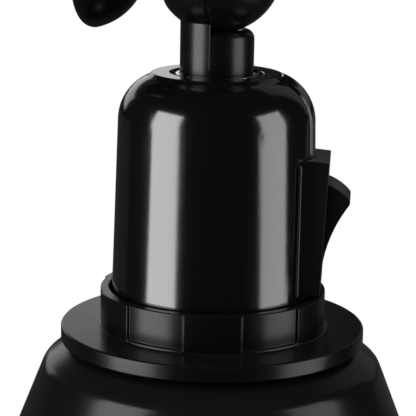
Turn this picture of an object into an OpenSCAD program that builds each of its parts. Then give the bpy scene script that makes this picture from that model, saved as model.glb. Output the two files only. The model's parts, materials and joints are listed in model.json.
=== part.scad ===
// Wall sconce: a round wall plate, a swinging arm, a tilting ball knuckle with a hand knob,
// a moulded lamp holder with a rocker switch, a ribbed shade ring and a cone shade.
// Origin: centre of the wall plate on the wall. +Y points into the wall, +Z up. Millimetres.

/* [Wall plate] */
// Outer diameter of the round wall plate
canopy_d = 120; // [112:1:150]
// Depth of the wall plate from the wall to its front
canopy_depth = 24; // [20:1:36]
// Sheet thickness of the wall plate
canopy_wall = 1.2; // [0.8:0.1:2]
// Radius of the front edge of the wall plate
canopy_edge_r = 6; // [3:0.5:10]
// Width of the mounting strap
strap_w = 20; // [16:1:26]
// Thickness of the mounting strap
strap_t = 2; // [1.5:0.1:3]
// Distance between the centres of the two wall screw slots
slot_spacing = 66; // [62:1:72]
// End to end length of a wall screw slot
slot_len = 14; // [8:1:16]
// Width of a wall screw slot
slot_w = 5; // [4:0.1:6]
// Diameter of the cable hole in the strap
cable_hole_d = 16; // [10:1:20]
// Distance between the two strap studs
stud_spacing = 40; // [36:1:42]
// Diameter of the strap studs
stud_d = 4; // [3:0.5:5]
// Diameter of the earth screw
earth_screw_d = 4; // [3:0.5:5]

/* [Wall swivel] */
// Diameter of the two swivel drums
swivel_d = 26; // [24:0.5:32]
// Wall thickness of the swivel drums
swivel_wall = 2.5; // [2:0.1:3]
// Height of the fixed lower drum
base_h = 18; // [17:0.5:24]
// Height of the turning upper drum
turret_h = 24; // [22:0.5:30]
// Distance from the front of the wall plate to the swivel axis
swivel_out = 20; // [18:0.5:30]
// Diameter of the threaded tail through the wall plate
tail_d = 10; // [8:0.5:12]
// Diameter of the hollow pivot
pivot_d = 10; // [8:0.5:11]
// Thickness of the friction washer between the drums
pivot_washer_t = 0.8; // [0.5:0.1:1.5]

/* [Arm] */
// Distance from the wall to the lamp axis
arm_reach = 200; // [180:1:300]
// Outer diameter of the arm tube
tube_d = 14; // [12:0.5:16]
// Wall thickness of the arm tube
tube_wall = 1; // [0.8:0.1:1.2]
// Radius of the tube's bend, at its centre line
bend_r = 40; // [30:1:60]
// Straight length of tube below the bend
arm_drop = 14; // [13:1:40]
// Outer diameter of one insulated lead
lead_d = 2.2; // [1.8:0.1:2.3]

/* [Tilt knuckle] */
// Diameter of the knuckle ball
ball_d = 24.6; // [23:0.1:28]
// Distance from the ball's centre to the flat on its knob side
knuckle_flat = 9.8; // [9:0.1:10.5]
// Radius of the edge round that flat
flat_edge_r = 2.5; // [1:0.1:3]
// Diameter of the neck and of the upper stub
neck_d = 14.3; // [13:0.1:15]
// Distance from the ball's centre to the top of the lamp holder
neck_len = 20; // [18:0.5:28]
// Distance from the ball's centre to the end of the arm tube
stub_len = 24; // [18:0.5:30]
// Running room between the ball and the cup in the neck
knuckle_clear = 0.3; // [0.2:0.05:0.5]
// Radius of the neck's outer edge next to that cup
neck_edge_r = 1.8; // [1:0.1:2]
// Gap between the two halves of the ball
seam_gap = 0.3; // [0.2:0.05:0.5]
// Diameter of the lead passage in neck and stub
passage_d = 8; // [7.5:0.1:8.5]
// Diameter of the hollow inside the ball
cavity_d = 17; // [15:0.5:18]
// Diameter of the clamping stud
knob_stud_d = 5; // [4:0.5:6]
// Diameter of the knob's dome
knob_d = 25.2; // [22:0.1:28]
// Length of the knob's hub between the washers and the dome
knob_hub_len = 2; // [1:0.1:4]
// Diameter of the knob's hub
knob_hub_d = 11; // [9:0.1:13]
// Radius of the knob's outer edge
knob_edge_r = 2.5; // [1:0.1:3]

/* [Lamp holder] */
// Turn of the holder on its nipple, away from the tilt axis, in degrees
holder_turn = 7; // [0:1:30]
// Diameter of the holder cap just below its shoulder
cap_shoulder_d = 38; // [37:0.1:38.5]
// Diameter of the holder cap at its bottom
cap_bottom_d = 40.2; // [39.5:0.1:40.5]
// Length of the holder cap
cap_len = 48; // [46:0.5:49]
// Diameter of the cap's raised flat top
cap_top_d = 26.4; // [25.5:0.1:28]
// Height of the flat top over the shoulder
top_rise = 0.7; // [0.4:0.1:1]
// Radius of the cap's shoulder
shoulder_r = 9.2; // [8.5:0.1:10.5]
// Wall thickness of the holder cap
cap_wall = 2; // [1.6:0.1:2.2]
// Diameter of the bright bush in the top of the cap
bush_d = 17.9; // [16.5:0.1:20]
// Outer diameter of the threaded nipple
nipple_d = 10; // [9:0.1:10.5]
// Outer diameter of the holder's threaded sleeve
sleeve_d = 40.4; // [39.8:0.1:40.6]
// Length of the sleeve below the cap
sleeve_len = 28; // [26:0.5:34]
// Inner diameter of the screw shell for the bulb
shell_d = 26.6; // [26:0.1:26.8]
// Depth of the screw shell
shell_len = 20; // [17:0.5:21]

/* [Rocker switch] */
// Distance from the holder axis to the flat under the switch
flat_dist = 16.6; // [16.2:0.1:17]
// Width of the switch frame
frame_w = 13.5; // [13:0.1:15]
// Distance from the top of the cap to the top of the frame
frame_top = 15.3; // [14:0.1:16]
// Height of the frame
frame_h = 26.7; // [25.5:0.1:27]
// Height of the frame's lip over the cap
frame_lip_h = 0.3; // [0.2:0.05:0.6]
// Distance from the holder axis to the frame's face at its top
frame_face_top = 22.4; // [21.5:0.1:23]
// Distance from the holder axis to the frame's face at its bottom
frame_face_bottom = 21.3; // [20.5:0.1:22]
// Width of the rocker
rocker_w = 9.5; // [8:0.1:9.8]
// Radius of the rocker's ends about its pivot
rocker_r = 10; // [9:0.1:10.3]
// Distance from the holder axis to the rocker's pivot
rocker_out = 18.8; // [18:0.1:19]
// Distance from the top of the cap to the rocker's pivot
rocker_drop = 29.8; // [29:0.1:30]
// Angle from the rocker's middle to either tip, in degrees
rocker_span = 56; // [50:1:60]
// Depth of the hollow in the rocker's face
rocker_dish = 1.3; // [0.5:0.1:1.5]
// Radius of the rocker's tips
rocker_tip_r = 1; // [0.5:0.1:1.2]
// Tilt of the rocker to either side of its middle, in degrees
rocker_throw = 17; // [10:1:17]
// Diameter of the rocker's pivot pins
rocker_pin_d = 2.4; // [1.8:0.1:2.6]

/* [Shade ring] */
// Distance from the top of the cap to the top of the flange
flange_drop = 50; // [49.5:0.1:52]
// Diameter of the flange
flange_d = 60; // [54:0.5:64]
// Thickness of the flange at its rim
flange_t = 3.1; // [2:0.1:4]
// Height of the ribbed collar above the flange
collar_h = 7.4; // [6:0.1:7.6]
// Diameter over the ribs of the collar
collar_d = 45.2; // [44.6:0.1:48]
// Depth of the pockets between the ribs
pocket_depth = 0.4; // [0.3:0.05:0.6]
// Width of a pocket
pocket_w = 12.2; // [9:0.1:14]
// Number of ribs
rib_count = 6; // [4:1:8]
// Turn of the rings on the sleeve, away from the switch, in degrees
ring_turn = 5; // [0:1:60]
// Inner diameter of the collar
collar_bore_d = 41; // [40.9:0.1:41.2]

/* [Shade] */
// Height of the shade below the top of the flange
shade_h = 130; // [80:1:180]
// Half angle of the cone, in degrees
shade_angle = 21.5; // [15:0.5:28]
// Sheet thickness of the shade
shade_wall = 1; // [0.8:0.1:1.4]
// Radius of the shade's flat top
shade_top_r = 25; // [24.6:0.1:28]
// Radius of the round shoulder
shade_shoulder_r = 10; // [5:0.1:12]
// Radius of the rolled rim
rim_r = 1.6; // [1.2:0.1:2.5]

/* [Clearances] */
// Gap between pieces that are fixed to each other
fit_gap = 0.1; // [0.05:0.01:0.15]
// Gap round a pin or stud that turns
pin_gap = 0.06; // [0.03:0.01:0.1]
// Gap round other moving pieces
run_gap = 0.3; // [0.2:0.05:0.4]

/* [Hidden] */
$fn = 96;
eps = 0.01;
joint_swell = 1.03;
through = 400;
over = 1;

canopy_r = canopy_d / 2;
swivel_r = swivel_d / 2;
swivel_y = canopy_depth + swivel_out;
tube_r = tube_d / 2;
tube_bore_r = tube_r - tube_wall;
ball_r = ball_d / 2;
neck_r = neck_d / 2;
lead_r = lead_d / 2;

// Mounting strap: the earth screw sits outside one slot, and the strap ends past it.
stud_collar_t = 1.2;
stud_collar_d = stud_d + 3;
stud_nut_r = stud_d / 2 + 2.5;
stud_nut_h = 3.2;
stud_past_plate = 3;
earth_head_d = earth_screw_d + 3;
earth_head_t = 2.2;
driver_slot_w = 0.8;
driver_slot_depth = 0.9;
strap_margin = 1.5;
earth_x = (slot_spacing + slot_len + earth_head_d) / 2 + strap_margin;
strap_len = 2 * earth_x + earth_head_d + 2 * strap_margin;

// Wall swivel
base_roof_t = 5;
turret_floor_t = 4;
turret_z = base_h / 2 + pivot_washer_t;
arm_z = turret_z + turret_h / 2;
tail_flange_d = tail_d + 12;
tail_flange_t = 3;
tail_neck_d = tail_d + 6;
tail_washer_d = tail_d + 10;
tail_washer_t = 1;
tail_nut_d = 1.6 * tail_d;
tail_nut_t = 3;
tail_past_nut = 3;
tail_len = canopy_wall + tail_washer_t + tail_nut_t + tail_past_nut;
tail_bore_d = tail_d - 3;
pivot_bore_d = pivot_d - 3;
pivot_head_d = pivot_d + 5;
pivot_head_t = 2;
pivot_washer_in = 1;
wave_washer_d = pivot_d + 6;
wave_washer_t = 1;
pivot_nut_d = 1.6 * pivot_d;
pivot_nut_t = 3;
pivot_past_nut = 0.5;
pivot_nut_z = base_h / 2 - base_roof_t - wave_washer_t - pivot_nut_t;
drum_cap_t = 2.5;
drum_plug_h = 3;
socket_wall = 2.5;
socket_d = tube_d + 2 * socket_wall;
socket_past_drum = 16;
socket_len = swivel_r + socket_past_drum;
tube_start = swivel_r - swivel_wall + 1;
set_screw_d = 4;
set_screw_key_d = 2;
set_screw_key_h = 1.2;
set_screw_y = swivel_r + 0.6 * socket_past_drum;

// Arm and knuckle
tube_end_z = arm_z - bend_r - arm_drop;
ball_z = tube_end_z - stub_len;
spigot_len = 12;
spigot_r = tube_bore_r - fit_gap;
// The two leads lie next to each other, on the upper knuckle's own side of the seam.
lead_side = lead_r + run_gap / 2;
lead_seam = seam_gap / 2 + lead_r + run_gap;
cup_r = ball_r + knuckle_clear;
cup_land = 0.2;
cup_top = sqrt(pow(cup_r, 2) - pow(neck_r - neck_edge_r - cup_land, 2));
boss_d = knob_stud_d + 4;
stud_cover = 3.3;
stud_reach = ball_r - stud_cover;
passage_into = 1.5;
ring_washer_t = 0.8;
ring_washer_in = cavity_d / 2 + fit_gap;
ring_washer_edge = 1.5;
ring_washer_out = ball_r - ring_washer_edge;
// Fillet between the ball and its flat: centre of the small circle in the turned outline.
flat_edge_x = knuckle_flat - flat_edge_r;
flat_edge_y = sqrt(pow(ball_r - flat_edge_r, 2) - pow(flat_edge_x, 2));

// Hand knob, measured along the tilt axis from the ball's centre
knob_washer_d = knob_hub_d + 1.6;
knob_washer_t = 1;
spring_washer_d = knob_hub_d - 1;
spring_washer_t = 1.4;
spring_washer_split = 0.8;
knob_start = knuckle_flat + knob_washer_t + spring_washer_t;
knob_r = knob_d / 2;
knob_centre = knob_start + knob_hub_len + knob_r;
knob_face_cut = 0.2;
knob_face = knob_centre - knob_face_cut;
knob_edge_x = knob_face - knob_edge_r;
knob_edge_y = sqrt(pow(knob_r - knob_edge_r, 2) - pow(knob_centre - knob_edge_x, 2));
knob_recess_d = knob_d / 2;
knob_recess_h = 0.8;
knob_stud_cover = 4;
knob_stud_end = knob_face - knob_stud_cover;

// Lamp holder, measured down from the top of its cap
cap_r = cap_shoulder_d / 2;
cap_end_r = cap_bottom_d / 2;
cap_top_r = cap_top_d / 2;
shoulder_h = top_rise + sqrt(pow(shoulder_r, 2) - pow(cap_top_r - cap_r + shoulder_r, 2));
cap_rib_w = 8.5;
cap_rib_h = 0.35;
bush_sink = 0.15;
bush_seat = 1.35;
bush_rim = 0.7;
bush_rim_d = neck_d + 2 * fit_gap + 2 * bush_rim;
bush_flange_d = bush_d + 3;
bush_flange_t = 3;
bush_bottom = cap_wall + fit_gap + bush_flange_t;
nut_t = 3;
nut_d = 1.6 * nipple_d;
nipple_wall = 1.2;
nipple_past_nut = 6;
nipple_top = neck_len - ball_r - 1;
nipple_bottom = bush_bottom + nut_t + nipple_past_nut;
thread_r = cap_end_r - cap_wall - fit_gap;
// Rocker switch
frame_bottom = frame_top + frame_h;
ledge = frame_top + frame_lip_h;
flat_back = flat_dist - cap_wall;
below_frame = cap_len - frame_bottom;
flat_floor = below_frame / 3;
frame_tilt = atan((frame_face_top - frame_face_bottom) / frame_h);
frame_window = rocker_r + run_gap;
frame_window_w = rocker_w + 2 * run_gap;
frame_slope = 0.5;
pin_len = (frame_window_w + frame_w) / 2;
housing_wall = 1;
housing_w = frame_window_w + 2 * housing_wall;
housing_half = frame_window + housing_wall;
housing_depth = 14.5;
housing_bottom = rocker_drop + housing_half;
rocker_tip_x = rocker_r * cos(rocker_span);
rocker_tip_z = rocker_r * sin(rocker_span);
rocker_hollow_r = (pow(rocker_tip_z, 2) + pow(rocker_dish, 2)) / (2 * rocker_dish);
rocker_back = 1.5;
stem_end = 5;
stem_half = 2.6;
stem_bore_r = 1.6;
plunger_r = stem_bore_r - 0.1;
plunger_back = 3.5;
plunger_tip = 6.5;
spring_turns = 4;
spring_wire_r = 0.2;
spring_r = stem_bore_r - spring_wire_r - 0.2;
spring_start = 1.2;
bridge_t = 0.8;
bridge_w = 5;
bridge_half = 6;
bridge_tip = 6;
bridge_pivot_r = 0.6;
plunger_gap = 0.15;
bridge_x = plunger_tip + plunger_r + plunger_gap + bridge_pivot_r;
bridge_gap = 0.25;
contact_z = 5;
contact_pad_half = 0.9;
terminal_tail = 3;

// Holder below the switch: sleeve and core keep clear of the switch's housing
spigot_h = 0.6 * below_frame;
thread_zone_clear = 0.5;
thread_zone_h = spigot_h + thread_zone_clear;
sleeve_wall = 2;
sleeve_bottom = cap_len + sleeve_len;
core_r = thread_r - fit_gap - sleeve_wall - fit_gap;
sleeve_lip = 1.5;
core_disc_t = 4.5;
core_clear = 3;
core_top = housing_bottom + core_clear;
core_disc_bottom = core_top + core_disc_t;
core_bottom = sleeve_bottom - sleeve_lip - fit_gap;
shell_wall = 0.4;
shell_r = shell_d / 2;
shell_hole_r = shell_r / 2;
well_h = 4.5;
well_r = shell_hole_r + 1.5;
shell_top = core_disc_bottom + well_h + fit_gap;
contact_w = 5;
contact_t = 0.6;
contact_foot = 4;
contact_inset = 1.5;
contact_past_axis = 4;
contact_rise = 22;
terminal_x = 9;
terminal_y = 6.5;
terminal_l = 7;
terminal_w = 5;
terminal_t = 0.8;
terminal_head_d = 4.2;
terminal_head_t = 1.8;

// Shade ring and shade, measured down from the top of the cap
collar_r = collar_d / 2;
pocket_floor = 0.6;
flange_edge = 0.5;
flange_seat_drop = 0.4;
flange_seat_in = 0.5;
flange_seat_t = flange_t + flange_seat_drop;
flange_seat_r = shade_top_r - flange_seat_in;
ring_bore_r = sleeve_d / 2 + fit_gap;
shade_top = flange_drop + flange_seat_t;
shade_bottom = flange_drop + shade_h;
shade_hole_r = ring_bore_r;
arc_steps = 20;
shade_centre = [shade_top_r, -shade_top - shade_shoulder_r];
rim_z = -shade_bottom + rim_r;
rim_centre = [shade_centre.x + (shade_shoulder_r - shade_wall / 2) / cos(shade_angle)
    + (shade_centre.y - rim_z) * tan(shade_angle), rim_z];
lock_ring_d = 2 * flange_seat_r;
lock_flange_t = 2;
lock_collar_h = 5;

// Places
// Local +Z runs straight out of the wall, local +Y up.
module from_wall(out = 0) rotate([90, 0, 0]) translate([0, 0, out]) children();
// The vertical axis of the wall swivel, at height z
module on_swivel(z = 0) translate([0, -swivel_y, z]) children();
// The ball's centre
module at_ball() translate([0, -arm_reach, ball_z]) children();
// Along the tilt axis: local +Z runs from the ball's centre towards the knob
module on_tilt_axis() at_ball() rotate([0, -90, 0]) children();
// Top of the holder cap, +X towards the switch; drop is measured down
module at_holder(drop = 0)
    at_ball() rotate([0, 0, holder_turn]) translate([0, 0, -neck_len - drop]) children();
// Pivot of the rocker, +X square out of the frame's face
module at_rocker(turn = 0)
    at_holder(rocker_drop) translate([rocker_out, 0, 0]) rotate([0, frame_tilt + turn, 0]) children();

// Shared shapes
module ring(r_out, r_in, h) {
    difference() {
        cylinder(r = r_out, h = h);
        translate([0, 0, -over]) cylinder(r = r_in, h = h + 2 * over);
    }
}
module hex_nut(d, t, bore) {
    difference() {
        cylinder(d = d, h = t, $fn = 6);
        translate([0, 0, -over]) cylinder(d = bore, h = t + 2 * over);
    }
}
// Half of a turned disc's outline, height h, with its top outer edge rounded
module disc_outline(r, h, edge) {
    square([r - edge, h]);
    square([r, h - edge]);
    translate([r - edge, h - edge]) intersection() {
        circle(r = edge);
        square(edge);
    }
}
// Straight rod between two points, with a slightly fuller round end that joins it to the next one
module rod(a, b, r) {
    d = b - a;
    translate(a) rotate([0, acos(d.z / norm(d)), atan2(d.y, d.x)]) cylinder(r = r, h = norm(d), $fn = 24);
    translate(b) sphere(r = joint_swell * r, $fn = 24);
}
module wire(points, r) {
    for (i = [0 : len(points) - 2]) rod(points[i], points[i + 1], r);
}
// Screwdriver slot across a screw head whose top is at height top
module driver_slot(top) {
    translate([-through / 2, -driver_slot_w / 2, top - driver_slot_depth])
        cube([through, driver_slot_w, 2 * driver_slot_depth]);
}
// A slot along X through a plate of thickness t
module slot(length, width, t) {
    for (s = [-1, 1]) translate([s * (length - width) / 2, 0, -over])
        cylinder(d = width, h = t + 2 * over);
    translate([-(length - width) / 2, -width / 2, -over]) cube([length - width, width, t + 2 * over]);
}
// Coil of round wire: rings of six points along a helix of the given pitch
module coil(r, wire_r, turns, pitch) {
    steps = 8;
    sides = 6;
    count = turns * steps;
    points = [
        for (i = [0 : count], k = [0 : sides - 1])
            let (a = 360 * i / steps, b = 360 * k / sides, q = r + wire_r * cos(b))
                [q * cos(a), q * sin(a), pitch * i / steps + wire_r * sin(b)]
    ];
    walls = [
        for (i = [0 : count - 1], k = [0 : sides - 1])
            let (n = (k + 1) % sides, a = i * sides, b = a + sides)
                each [[a + k, b + k, b + n], [a + k, b + n, a + n]]
    ];
    start_cap = [for (k = [1 : sides - 2]) [0, k, k + 1]];
    end_cap = [for (k = [1 : sides - 2]) [count * sides, count * sides + k + 1, count * sides + k]];
    polyhedron(points, concat(walls, start_cap, end_cap), convexity = 8);
}

// Wall plate
module wall_strap() {
    color("silver") from_wall() difference() {
        translate([-strap_len / 2, -strap_w / 2, 0]) cube([strap_len, strap_w, strap_t]);
        for (s = [-1, 1]) {
            translate([s * slot_spacing / 2, 0, 0]) slot(slot_len, slot_w, strap_t);
            translate([s * stud_spacing / 2, 0, -over])
                cylinder(d = stud_d + 2 * fit_gap, h = strap_t + 2 * over);
        }
        translate([0, 0, -over]) cylinder(d = cable_hole_d, h = strap_t + 2 * over);
        translate([earth_x, 0, -over]) cylinder(d = earth_screw_d + 2 * fit_gap, h = strap_t + 2 * over);
    }
}
module strap_studs() {
    color("silver") from_wall() for (s = [-1, 1]) translate([s * stud_spacing / 2, 0, 0]) {
        cylinder(d = stud_d, h = canopy_depth + stud_past_plate);
        translate([0, 0, strap_t]) cylinder(d = stud_collar_d, h = stud_collar_t);
    }
}
module earth_screw() {
    color("gold") from_wall() translate([earth_x, 0, 0]) difference() {
        union() {
            cylinder(d = earth_screw_d, h = strap_t + eps);
            translate([0, 0, strap_t]) cylinder(d = earth_head_d, h = earth_head_t);
        }
        driver_slot(strap_t + earth_head_t);
    }
}
module canopy() {
    color("#191919") from_wall() difference() {
        rotate_extrude() difference() {
            disc_outline(canopy_r, canopy_depth, canopy_edge_r);
            translate([0, -over]) disc_outline(
                canopy_r - canopy_wall, canopy_depth - canopy_wall + over, canopy_edge_r - canopy_wall);
        }
        translate([0, 0, canopy_depth / 2]) cylinder(d = tail_d + 2 * fit_gap, h = canopy_depth);
        for (s = [-1, 1]) translate([s * stud_spacing / 2, 0, canopy_depth / 2])
            cylinder(d = stud_d + 4 * fit_gap, h = canopy_depth);
    }
}
// Round cap nuts with a domed end and a blind hole for the stud
module canopy_nuts() {
    color("#222222") from_wall(canopy_depth) for (s = [-1, 1]) translate([s * stud_spacing / 2, 0, 0])
        difference() {
            union() {
                cylinder(r = stud_nut_r, h = stud_nut_h);
                translate([0, 0, stud_nut_h]) intersection() {
                    sphere(r = stud_nut_r);
                    cylinder(r = stud_nut_r, h = stud_nut_r);
                }
            }
            translate([0, 0, -over])
                cylinder(d = stud_d + 2 * fit_gap, h = over + stud_past_plate + fit_gap);
        }
}

// Wall swivel
module swivel_base() {
    color("#1b1b1b") difference() {
        union() {
            on_swivel(-base_h / 2) cylinder(r = swivel_r, h = base_h);
            from_wall(canopy_depth) cylinder(d = tail_neck_d, h = swivel_out);
            from_wall(canopy_depth) cylinder(d = tail_flange_d, h = tail_flange_t);
            from_wall(canopy_depth - tail_len) cylinder(d = tail_d, h = tail_len + over);
        }
        from_wall(canopy_depth - tail_len - over)
            cylinder(d = tail_bore_d, h = tail_len + over + swivel_out);
        on_swivel(-base_h / 2 - over)
            cylinder(r = swivel_r - swivel_wall, h = base_h - base_roof_t + over);
        on_swivel(0) cylinder(d = pivot_d + 2 * pin_gap, h = base_h);
    }
}
module tail_washer() {
    color("silver") from_wall(canopy_depth - canopy_wall - tail_washer_t)
        ring(tail_washer_d / 2, tail_d / 2 + fit_gap, tail_washer_t);
}
module tail_nut() {
    color("silver") from_wall(canopy_depth - canopy_wall - tail_washer_t - tail_nut_t)
        hex_nut(tail_nut_d, tail_nut_t, tail_d + 2 * fit_gap);
}
// Plug-in cap of a drum, in the drum's own outline: the plug points to local +Z
module drum_cap() {
    rotate([180, 0, 0]) rotate_extrude() disc_outline(swivel_r, drum_cap_t, drum_cap_t / 2);
    cylinder(r = swivel_r - swivel_wall - fit_gap, h = drum_plug_h);
}
module base_cap() {
    color("#1b1b1b") on_swivel(-base_h / 2) drum_cap();
}
module turret_cap() {
    color("#1b1b1b") on_swivel(turret_z + turret_h) mirror([0, 0, 1]) drum_cap();
}
module pivot_washer() {
    color("white") on_swivel(base_h / 2)
        ring(swivel_r - pivot_washer_in, pivot_d / 2 + fit_gap, pivot_washer_t);
}
module swivel_turret() {
    color("#1b1b1b") difference() {
        union() {
            on_swivel(turret_z) cylinder(r = swivel_r, h = turret_h);
            on_swivel(arm_z) rotate([90, 0, 0]) cylinder(d = socket_d, h = socket_len);
        }
        on_swivel(turret_z - over) cylinder(d = pivot_d + 2 * fit_gap, h = turret_floor_t + 2 * over);
        on_swivel(turret_z + turret_floor_t) cylinder(r = swivel_r - swivel_wall, h = turret_h);
        on_swivel(arm_z) rotate([90, 0, 0]) cylinder(r = tube_bore_r, h = socket_len + over);
        on_swivel(arm_z) rotate([90, 0, 0]) translate([0, 0, tube_start])
            cylinder(r = tube_r + fit_gap, h = socket_len);
        on_swivel(arm_z - socket_d) translate([0, -set_screw_y, 0])
            cylinder(d = set_screw_d + 2 * fit_gap, h = socket_d);
    }
}
module pivot_tube() {
    head_z = turret_z + turret_floor_t;
    end_z = pivot_nut_z - pivot_past_nut;
    color("silver") difference() {
        union() {
            on_swivel(end_z) cylinder(d = pivot_d, h = head_z - end_z + eps);
            on_swivel(head_z) cylinder(d = pivot_head_d, h = pivot_head_t);
        }
        on_swivel(end_z - over) cylinder(d = pivot_bore_d, h = through);
    }
}
module wave_washer() {
    color("silver") on_swivel(base_h / 2 - base_roof_t - wave_washer_t)
        ring(wave_washer_d / 2, pivot_d / 2 + fit_gap, wave_washer_t);
}
module pivot_nut() {
    color("silver") on_swivel(pivot_nut_z) hex_nut(pivot_nut_d, pivot_nut_t, pivot_d + 2 * fit_gap);
}

// Arm
// Solid along the arm's centre line: out from the swivel, round the bend and down by drop.
// It can be shifted sideways by side and towards the inside of the bend by low.
module arm_line(r, start, drop, side = 0, low = 0) {
    run = arm_reach - swivel_y - bend_r;
    translate([side, 0, -low]) on_swivel(arm_z) rotate([90, 0, 0]) translate([0, 0, start])
        cylinder(r = r, h = run - start);
    translate([side, -arm_reach + bend_r, arm_z - bend_r]) rotate([90, 0, -90])
        rotate_extrude(angle = 90) translate([bend_r - low, 0]) circle(r = r);
    translate([side, -arm_reach + low, arm_z - bend_r - drop]) cylinder(r = r, h = drop);
}
module arm_tube() {
    color("#1b1b1b") difference() {
        arm_line(tube_r, tube_start, arm_drop);
        arm_line(tube_bore_r, tube_start - over, arm_drop + over);
    }
}
module arm_set_screw() {
    color("dimgray") on_swivel(arm_z - socket_d / 2) translate([0, -set_screw_y, 0]) difference() {
        cylinder(d = set_screw_d, h = socket_wall - fit_gap);
        translate([0, 0, -over]) cylinder(d = set_screw_key_d, h = over + set_screw_key_h, $fn = 6);
    }
}
module arm_leads() {
    color("saddlebrown") for (s = [-1, 1])
        arm_line(lead_r, 0, arm_drop + stub_len - cavity_d / 2, lead_seam, s * lead_side);
}

// Tilt knuckle
// Turned solid of one half of the ball, on local +Z, hollow inside but for the boss round the stud
module half_ball(flat_side) {
    rotate_extrude() difference() {
        if (flat_side) flat_ball_outline();
        else intersection() {
            circle(r = ball_r);
            square(ball_r);
        }
        square([ball_r, seam_gap / 2]);
        difference() {
            circle(d = cavity_d);
            square([boss_d / 2, ball_r]);
        }
    }
}
// Ball outline with a flat at knuckle_flat and a round edge, axis up
module flat_ball_outline() {
    rotate([0, 0, 90]) mirror([0, 1]) {
        intersection() {
            circle(r = ball_r);
            polygon([[0, 0], 2 * ball_r * [flat_edge_x, flat_edge_y] / norm([flat_edge_x, flat_edge_y]),
                [0, 2 * ball_r]]);
        }
        translate([flat_edge_x, flat_edge_y]) circle(r = flat_edge_r);
        polygon([[0, 0], [knuckle_flat, 0], [knuckle_flat, flat_edge_y], [flat_edge_x, flat_edge_y]]);
    }
}
// Groove for the friction washer, half in each side of the seam
module washer_groove() {
    translate([0, 0, -ring_washer_t / 2])
        ring(ring_washer_out + fit_gap, ring_washer_in - over, ring_washer_t);
}
// Neck of length h on local +Z: full on its own half's side of the seam, local +X, and on the other
// side cupped round the other half, with a round outer edge
module neck(h) {
    difference() {
        union() {
            intersection() {
                cylinder(r = neck_r, h = h);
                translate([seam_gap / 2, -through / 2, -over]) cube(through);
            }
            difference() {
                translate([0, 0, h]) rotate([180, 0, 0]) rotate_extrude()
                    disc_outline(neck_r, h - cup_top, neck_edge_r);
                sphere(r = cup_r);
                translate([seam_gap / 2, -through / 2, -over]) cube(through);
            }
        }
        sphere(d = cavity_d);
    }
}
module upper_knuckle() {
    color("#161616") at_ball() {
        difference() {
            union() {
                rotate([0, 90, 0]) half_ball(false);
                neck(stub_len);
                translate([0, 0, stub_len - eps]) cylinder(r = spigot_r, h = spigot_len);
            }
            translate([0, 0, cavity_d / 2 - passage_into]) cylinder(d = passage_d, h = through);
            rotate([0, 90, 0]) cylinder(d = knob_stud_d + 2 * pin_gap, h = stud_reach + run_gap);
            rotate([0, 90, 0]) washer_groove();
        }
    }
}
module lower_knuckle() {
    color("#161616") at_ball() difference() {
        union() {
            rotate([0, -90, 0]) half_ball(true);
            rotate([0, 180, 0]) neck(neck_len + bush_seat);
        }
        translate([0, 0, -through - cavity_d / 2 + passage_into]) cylinder(d = passage_d, h = through);
        translate([0, 0, -neck_len + nipple_top + fit_gap - through])
            cylinder(d = nipple_d + 2 * fit_gap, h = through);
        rotate([0, -90, 0]) cylinder(d = knob_stud_d + 2 * pin_gap, h = through);
        rotate([0, -90, 0]) washer_groove();
    }
}
module knuckle_washer() {
    color("tan") on_tilt_axis() translate([0, 0, -ring_washer_t / 2 + fit_gap / 2])
        ring(ring_washer_out, ring_washer_in, ring_washer_t - fit_gap);
}
module tilt_knob() {
    dome = [knob_edge_x - knob_centre, knob_edge_y] / (knob_r - knob_edge_r);
    color("#1a1a1a") on_tilt_axis() difference() {
        union() {
            rotate_extrude() rotate([0, 0, 90]) mirror([0, 1]) {
                intersection() {
                    translate([knob_centre, 0]) circle(r = knob_r);
                    polygon([[knob_centre, 0], [knob_centre, 0] + 2 * knob_r * dome,
                        [knob_centre - 2 * knob_r, 2 * knob_r], [knob_centre - 2 * knob_r, 0]]);
                }
                translate([knob_edge_x, knob_edge_y]) circle(r = knob_edge_r);
                polygon([[knob_centre, 0], [knob_face, 0], [knob_face, knob_edge_y],
                    [knob_edge_x, knob_edge_y]]);
            }
            translate([0, 0, knob_start]) cylinder(d = knob_hub_d, h = knob_hub_len + knob_r / 2);
        }
        translate([0, 0, knob_face - knob_recess_h]) cylinder(d = knob_recess_d, h = knob_r);
        translate([0, 0, knob_start - over]) cylinder(d = knob_stud_d + 2 * fit_gap,
            h = knob_stud_end - knob_start + over + fit_gap);
    }
}
module knob_stud() {
    color("silver") on_tilt_axis() translate([0, 0, -stud_reach])
        cylinder(d = knob_stud_d, h = stud_reach + knob_stud_end);
}
module knob_washer() {
    color("silver") on_tilt_axis() translate([0, 0, knuckle_flat])
        ring(knob_washer_d / 2, knob_stud_d / 2 + fit_gap, knob_washer_t);
}
// Split spring washer
module spring_washer() {
    color("dimgray") on_tilt_axis() translate([0, 0, knuckle_flat + knob_washer_t]) difference() {
        ring(spring_washer_d / 2, knob_stud_d / 2 + fit_gap, spring_washer_t);
        translate([0, -spring_washer_split / 2, -over])
            cube([knob_hub_d, spring_washer_split, spring_washer_t + 2 * over]);
    }
}

// Lamp holder
module holder_nipple() {
    color("silver") at_holder(nipple_bottom)
        ring(nipple_d / 2, nipple_d / 2 - nipple_wall, nipple_bottom + nipple_top);
}
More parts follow.
